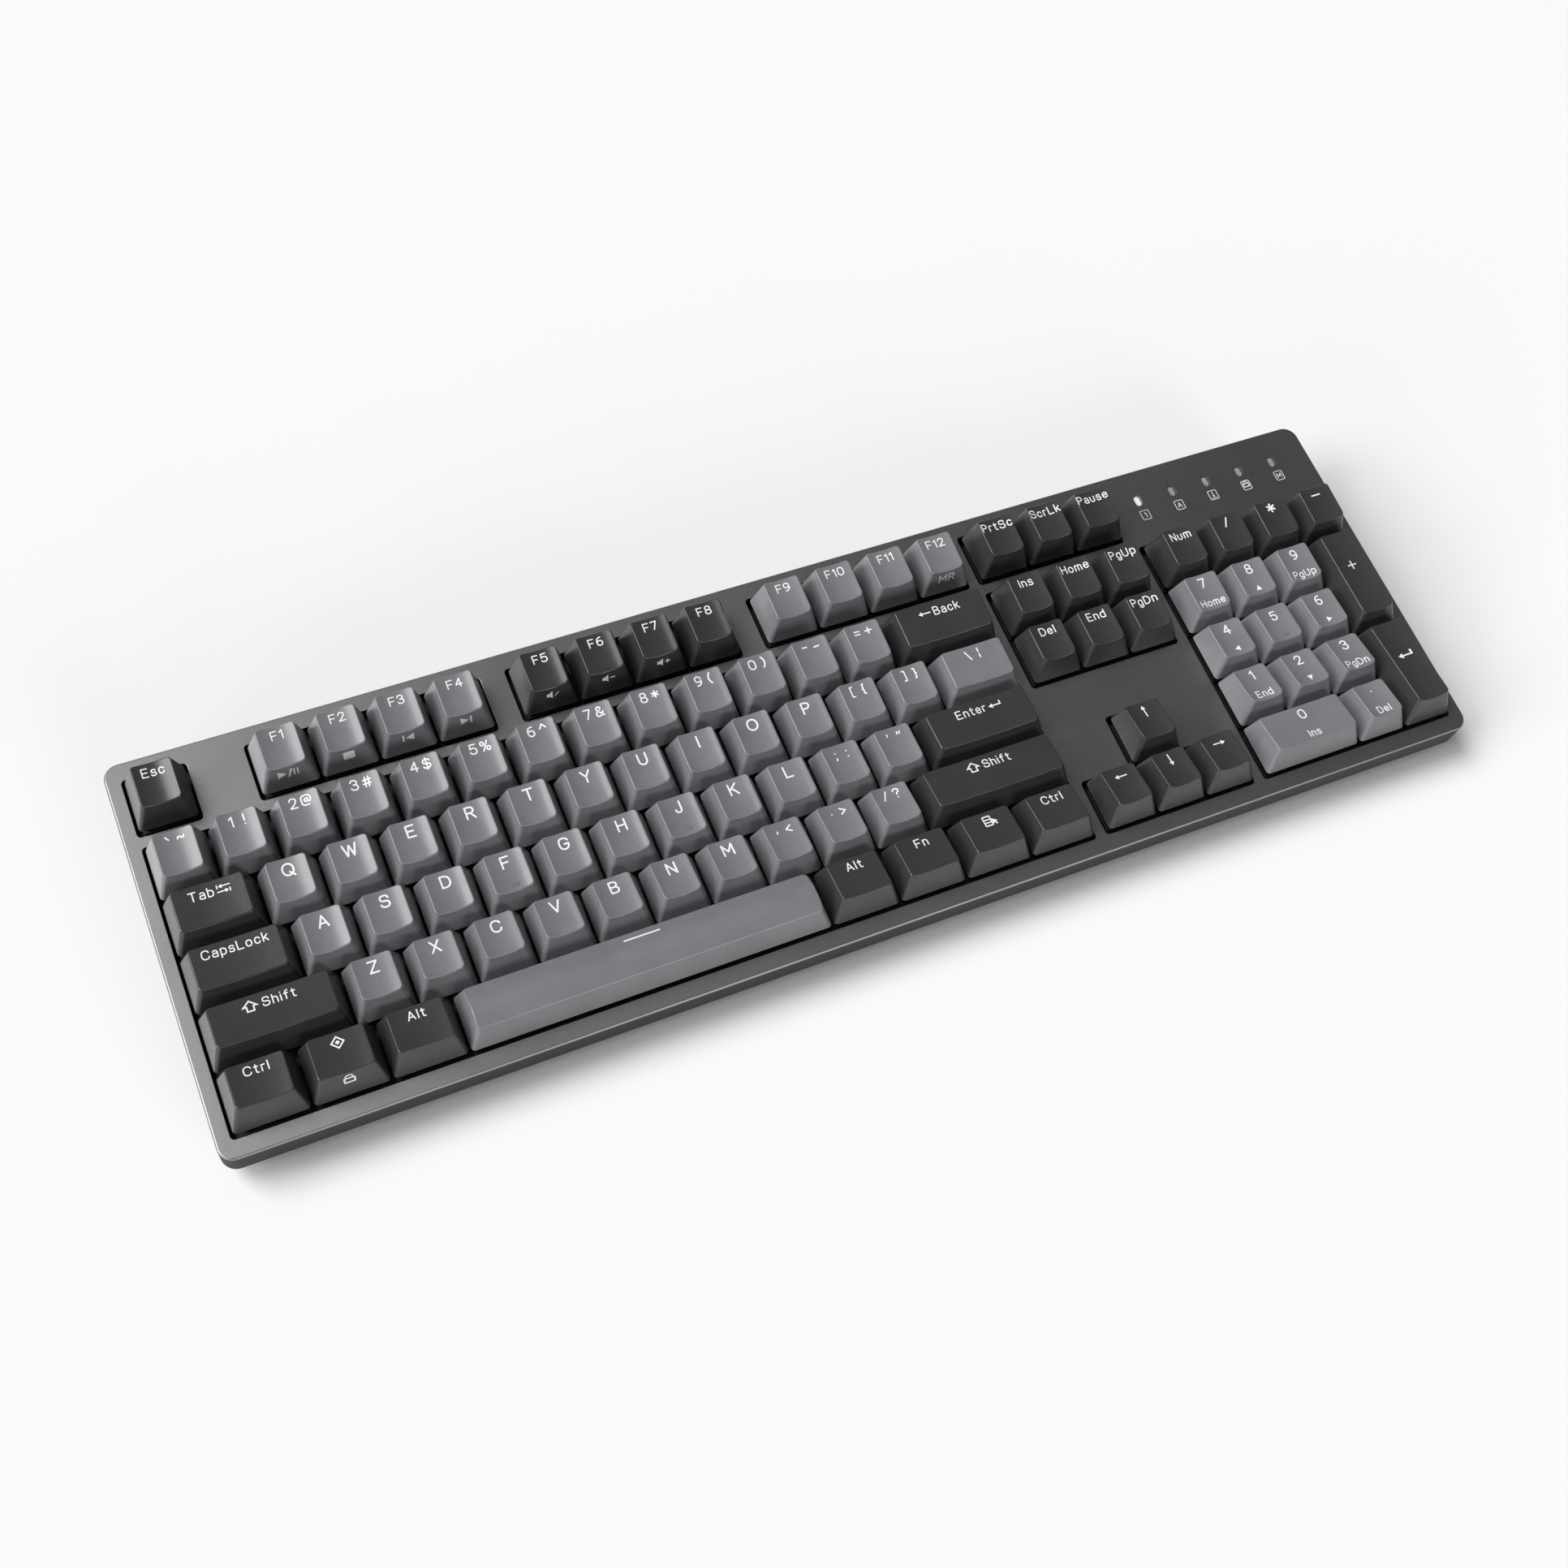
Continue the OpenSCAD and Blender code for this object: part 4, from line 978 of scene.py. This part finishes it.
# How far the middle of a legend lies from the back edge of its cap's top
DASH_LINE, SIGN_LINE, PAD_SIGN_LINE, DIGIT_LINE = 2.6 * MM, 3.6 * MM, 3.2 * MM, 3.4 * MM
LETTER_LINE, WORD_LINE, PAIR_LINE, BACK_PAIR_LINE = 3.9 * MM, 3.1 * MM, 3.5 * MM, 3.2 * MM
# The lower word from the front edge, a pair's signs and a tall key's sign from the middle
SMALL_LINE, PAIR_REACH, TALL_LINE = 2.2 * MM, 2 * MM, 4 * MM
TALL_SIZE = {"enter": 1.3, "plus": 0.95}
# A sign beside a word: its width, the gap between, and how far the two lie off the cap's middle
SIGN_WIDTH = {"back": 4.5 * MM, "enter": 4.6 * MM, "tab": 4 * MM, "shift": 5.2 * MM}
SIGN_GAP, SIGN_LAST_SHIFT, SIGN_FIRST_SHIFT = 1.2 * MM, 0.3 * MM, -0.5 * MM
FRONT_WORD, FRONT_SIZE, FRONT_RISE = 2.4 * MM, 1.4, 0.62
# Legends are laid out flat this far over the deck, then dropped onto the caps
AIR = 30 * MM


def top_marks(k, words):
    """The legend of one cap, floating flat above its place."""
    front, back = cap_top(k)
    x, y = key_x(k), key_y(k)
    over = Matrix.Translation((0, 0, AIR))
    back_row = k[4] == 0
    if words in TALL_SIZE:
        place = over @ Matrix.Translation((x, y + TALL_LINE, 0))
        return marks(words, 0, 0, 0, place @ Matrix.Scale(TALL_SIZE[words], 4))
    if words == "dash":
        return marks(words, 0, x, y + back - DASH_LINE, over)
    if words in PAD_SIGN_H:
        return marks(words, PAD_SIGN_H[words], x, y + back - PAD_SIGN_LINE, over)
    if words in SIGNS:
        return marks(words, 0, x, y + back - SIGN_LINE, over)
    if " " in words:
        first, second = words.split(" ")
        if first in SIGN_WIDTH:
            # The sign stands before its word on some keys and after it on others
            word_w, sign_w = spell(second, WORD)[2], SIGN_WIDTH[first]
            after = first in ("enter", "tab")
            way, middle_x = (1, x + SIGN_LAST_SHIFT) if after else (-1, x + SIGN_FIRST_SHIFT)
            line = y + back - SIGN_LINE
            return (marks(second, WORD, middle_x - way * (sign_w + SIGN_GAP) / 2, line, over)
                    + marks(first, 0, middle_x + way * (word_w + SIGN_GAP) / 2, line, over))
        return (marks(first, DIGIT, x, y + back - DIGIT_LINE, over)
                + marks(second, SMALL, x, y + front + SMALL_LINE, over))
    if len(words) == 1:
        high = PAIR if back_row or not words.isalpha() else LETTER
        return marks(words, high, x, y + back - (WORD_LINE if back_row else LETTER_LINE), over)
    if len(words) == 2 and not words.isalnum():
        line = y + back - (BACK_PAIR_LINE if back_row else PAIR_LINE)
        return (marks(words[0], PAIR, x - PAIR_REACH, line, over)
                + marks(words[1], PAIR, x + PAIR_REACH, line, over))
    return marks(words, WORD, x, y + back - WORD_LINE, over)


def front_marks(k, words):
    """A small sign on the sloping front face of a cap."""
    d = cap_size(k)[1]
    slope = Vector((0, FRONT_INSET[k[4]], FRONT_Z[k[4]] - CAP_FOOT))
    up = slope.normalized()
    out = Vector((0, -up.z, up.y))
    spot = Vector((key_x(k), key_y(k) - d, CAP_FOOT)) + slope * FRONT_RISE + out * LEGEND_LIFT
    face = Matrix(((1, 0, out.x, spot.x), (0, up.y, out.y, spot.y), (0, up.z, out.z, spot.z), (0, 0, 0, 1)))
    return marks(words, FRONT_WORD, 0, 0, face @ Matrix.Scale(FRONT_SIZE, 4))


# ---- Banks of keys ----

for body, (keys, words) in BANKS.items():
    short = body.split("_", 1)[1]
    light = CAP_LIGHT if body in LIGHT_BANKS else CAP_DARK
    slot = "cap_light" if body in LIGHT_BANKS else "cap_dark"
    caps = [copy_to(model_of(k), key_x(k), key_y(k)) for k in keys]
    for i in HOMING.get(body, []):
        k = keys[i]
        spot = cap_top(k)[0] + BAR_PLACE
        bar = copy_to(bar_model, key_x(k), key_y(k) + spot)
        bar.location.z = top_z(k, spot) + BAR_LIFT
        caps.append(bar)
    only(*caps)
    settle()
    groups = {"caps_" + short: caps}
    if body == "keys_pad_singles":
        groups = {"caps_pad_digits": caps[DARK_PAD_KEYS:], "caps_pad_signs": caps[:DARK_PAD_KEYS]}
    cap_pieces = [joined(name, members) for name, members in groups.items()]
    legend = flat_mesh("legend_" + short, [m for k, w in zip(keys, words) for m in top_marks(k, w)])
    # The legend drops onto the caps' tops
    ground = joined("ground", [copy_to(piece, 0, 0) for piece in cap_pieces])
    apply(legend, "SHRINKWRAP", target=ground, wrap_method="PROJECT", use_project_z=True,
          use_negative_direction=True, use_positive_direction=False, offset=LEGEND_LIFT)
    bpy.data.objects.remove(ground)
    signs = [m for k, w in zip(keys, FRONT_MARKS.get(body, [])) if w for m in front_marks(k, w)]
    if signs:
        legend = joined("legend_" + short, [legend, flat_mesh("signs", signs)])
    apply(legend, "SOLIDIFY", thickness=LEGEND_T, offset=1)
    sliders = joined("sliders_" + short, [copy_to(slider_model, key_x(k), key_y(k)) for k in keys]
                     + [stem for k in keys for stem in inserts(k)])
    only(sliders)
    settle()
    for piece in cap_pieces:
        smooth(piece)
        is_dark = piece.name == "caps_pad_signs"
        mount(piece, body, "cap_dark" if is_dark else slot, CAP_DARK if is_dark else light, body)
    mount(legend, body, slot, LEGEND)
    mount(sliders, body, "switch_plastic", STEM)


# ---- Indicators ----

print_parts = []
on_deck = Matrix.Translation((0, 0, LEGEND_LIFT))
for i, sign in enumerate(LED_MARKS):
    pipe = pill(f"light_pipe_{i + 1}", led_x(i), LED_Y, *PIPE, *PIPE_Z)
    edit(pipe)
    choose("EDGE", lambda e: middle(e).z > PIPE_Z[1] - NEAR and not upright(e))
    bpy.ops.mesh.bevel(offset=EASED, segments=2, affect="EDGES")
    done()
    smooth(pipe)
    mount(pipe, "case", "lens", LED_OFF if i else LED_ON, "indicator_lenses")
    for mark in ("badge", sign):
        print_parts += marks(mark, MARK_H, led_x(i), MARK_Y, on_deck)
cover_print = flat_mesh("indicator_signs", print_parts)
apply(cover_print, "SOLIDIFY", thickness=LEGEND_T, offset=1)
mount(cover_print, "case", "cap_light", PRINT)

# The models that were copied are no longer needed
letters = [glyph for glyph, _ in glyphs.values()]
for spare in [*models.values(), slider_model, insert_model, bar_model, *letters]:
    bpy.data.objects.remove(spare)

# ---- CAD parts that show as they are ----

NODE_FINISH = {"bottom_case": TRAY, "switch_plate": PLATE, "circuit_board": BOARD, "controller_chip": CHIP,
               "switch_lower_housings": HOUSING, "switch_upper_housings": HOUSING,
               "stabilizer_housings": HOUSING, "switch_springs": SPRING, "switch_contacts": SPRING,
               "indicator_leds": LED_DIE, "usb_port": SHELL, "case_screws": SCREW, "plate_screws": SCREW,
               "rubber_pads": RUBBER, "flip_foot_left": TRAY, "flip_foot_right": TRAY,
               "foot_tip_left": RUBBER, "foot_tip_right": RUBBER}
for name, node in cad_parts.items():
    finish = STEEL if name.startswith("wire_") else NODE_FINISH.get(name)
    if finish:
        node.data.materials.clear()
        node.data.materials.append(finish)

# ---- Floor, light and camera ----

FLOOR_SIZE, FLOOR_Z = 60, -0.2 * MM
# The room looks pale and lights the keyboard only a little
ROOM_SEEN, ROOM_LIGHT = 0.82, 0.11

fresh()
bpy.ops.mesh.primitive_plane_add(size=FLOOR_SIZE, location=(0, 0, FLOOR_Z))
floor = bpy.context.object
floor.name = "studio_floor"
paper = Finish("studio_paper")
paper.set(base_color=paper.blend(paper.noise(3), (0.93, 0.93, 0.93), (0.95, 0.95, 0.95)), roughness=0.9)
floor.data.materials.append(paper.material)

world = bpy.data.worlds.new("studio")
bpy.context.scene.world = world
world.use_nodes = True
room = world.node_tree
seen = room.nodes.new("ShaderNodeLightPath")
level = room.nodes.new("ShaderNodeMath")
level.operation = "MULTIPLY_ADD"
level.inputs[1].default_value, level.inputs[2].default_value = ROOM_SEEN, ROOM_LIGHT
room.links.new(seen.outputs["Is Camera Ray"], level.inputs[0])
room.links.new(level.outputs[0], room.nodes["Background"].inputs["Strength"])
room.nodes["Background"].inputs["Color"].default_value = (1, 1, 1, 1)


def soft_sun(name, energy, spread, azimuth, height):
    """A broad soft light from far off: where it stands round the keyboard, and how high."""
    lamp = bpy.data.lights.new(name, "SUN")
    lamp.energy, lamp.angle = energy, radians(spread)
    holder = bpy.data.objects.new(name, lamp)
    a, h = radians(azimuth), radians(height)
    toward = Vector((cos(a) * cos(h), sin(a) * cos(h), sin(h)))
    holder.rotation_euler = toward.to_track_quat("Z", "Y").to_euler()
    bpy.context.scene.collection.objects.link(holder)


soft_sun("overhead_softbox", 2.1, 34, 146, 55)
soft_sun("left_softbox", 1.6, 30, 180, 32)
soft_sun("front_left_strip", 0.45, 16, 216, 13)
soft_sun("front_right_strip", 0.65, 24, 284, 20)

# Where the camera stands over the deck's zero, and how it is turned, in degrees
CAMERA_PLACE, CAMERA_TURN = (-0.196284, -0.221178, 0.558498), (25.1707, -8.2119, -22.7902)
camera = bpy.data.cameras.new("camera")
camera.lens, camera.sensor_width = 44.025, 36
viewer = bpy.data.objects.new("camera", camera)
aim = Euler([radians(angle) for angle in CAMERA_TURN]).to_matrix().to_4x4()
viewer.matrix_world = DECK @ Matrix.Translation(CAMERA_PLACE) @ aim
bpy.context.scene.collection.objects.link(viewer)
bpy.context.scene.camera = viewer
bpy.context.scene.view_settings.view_transform = "Standard"
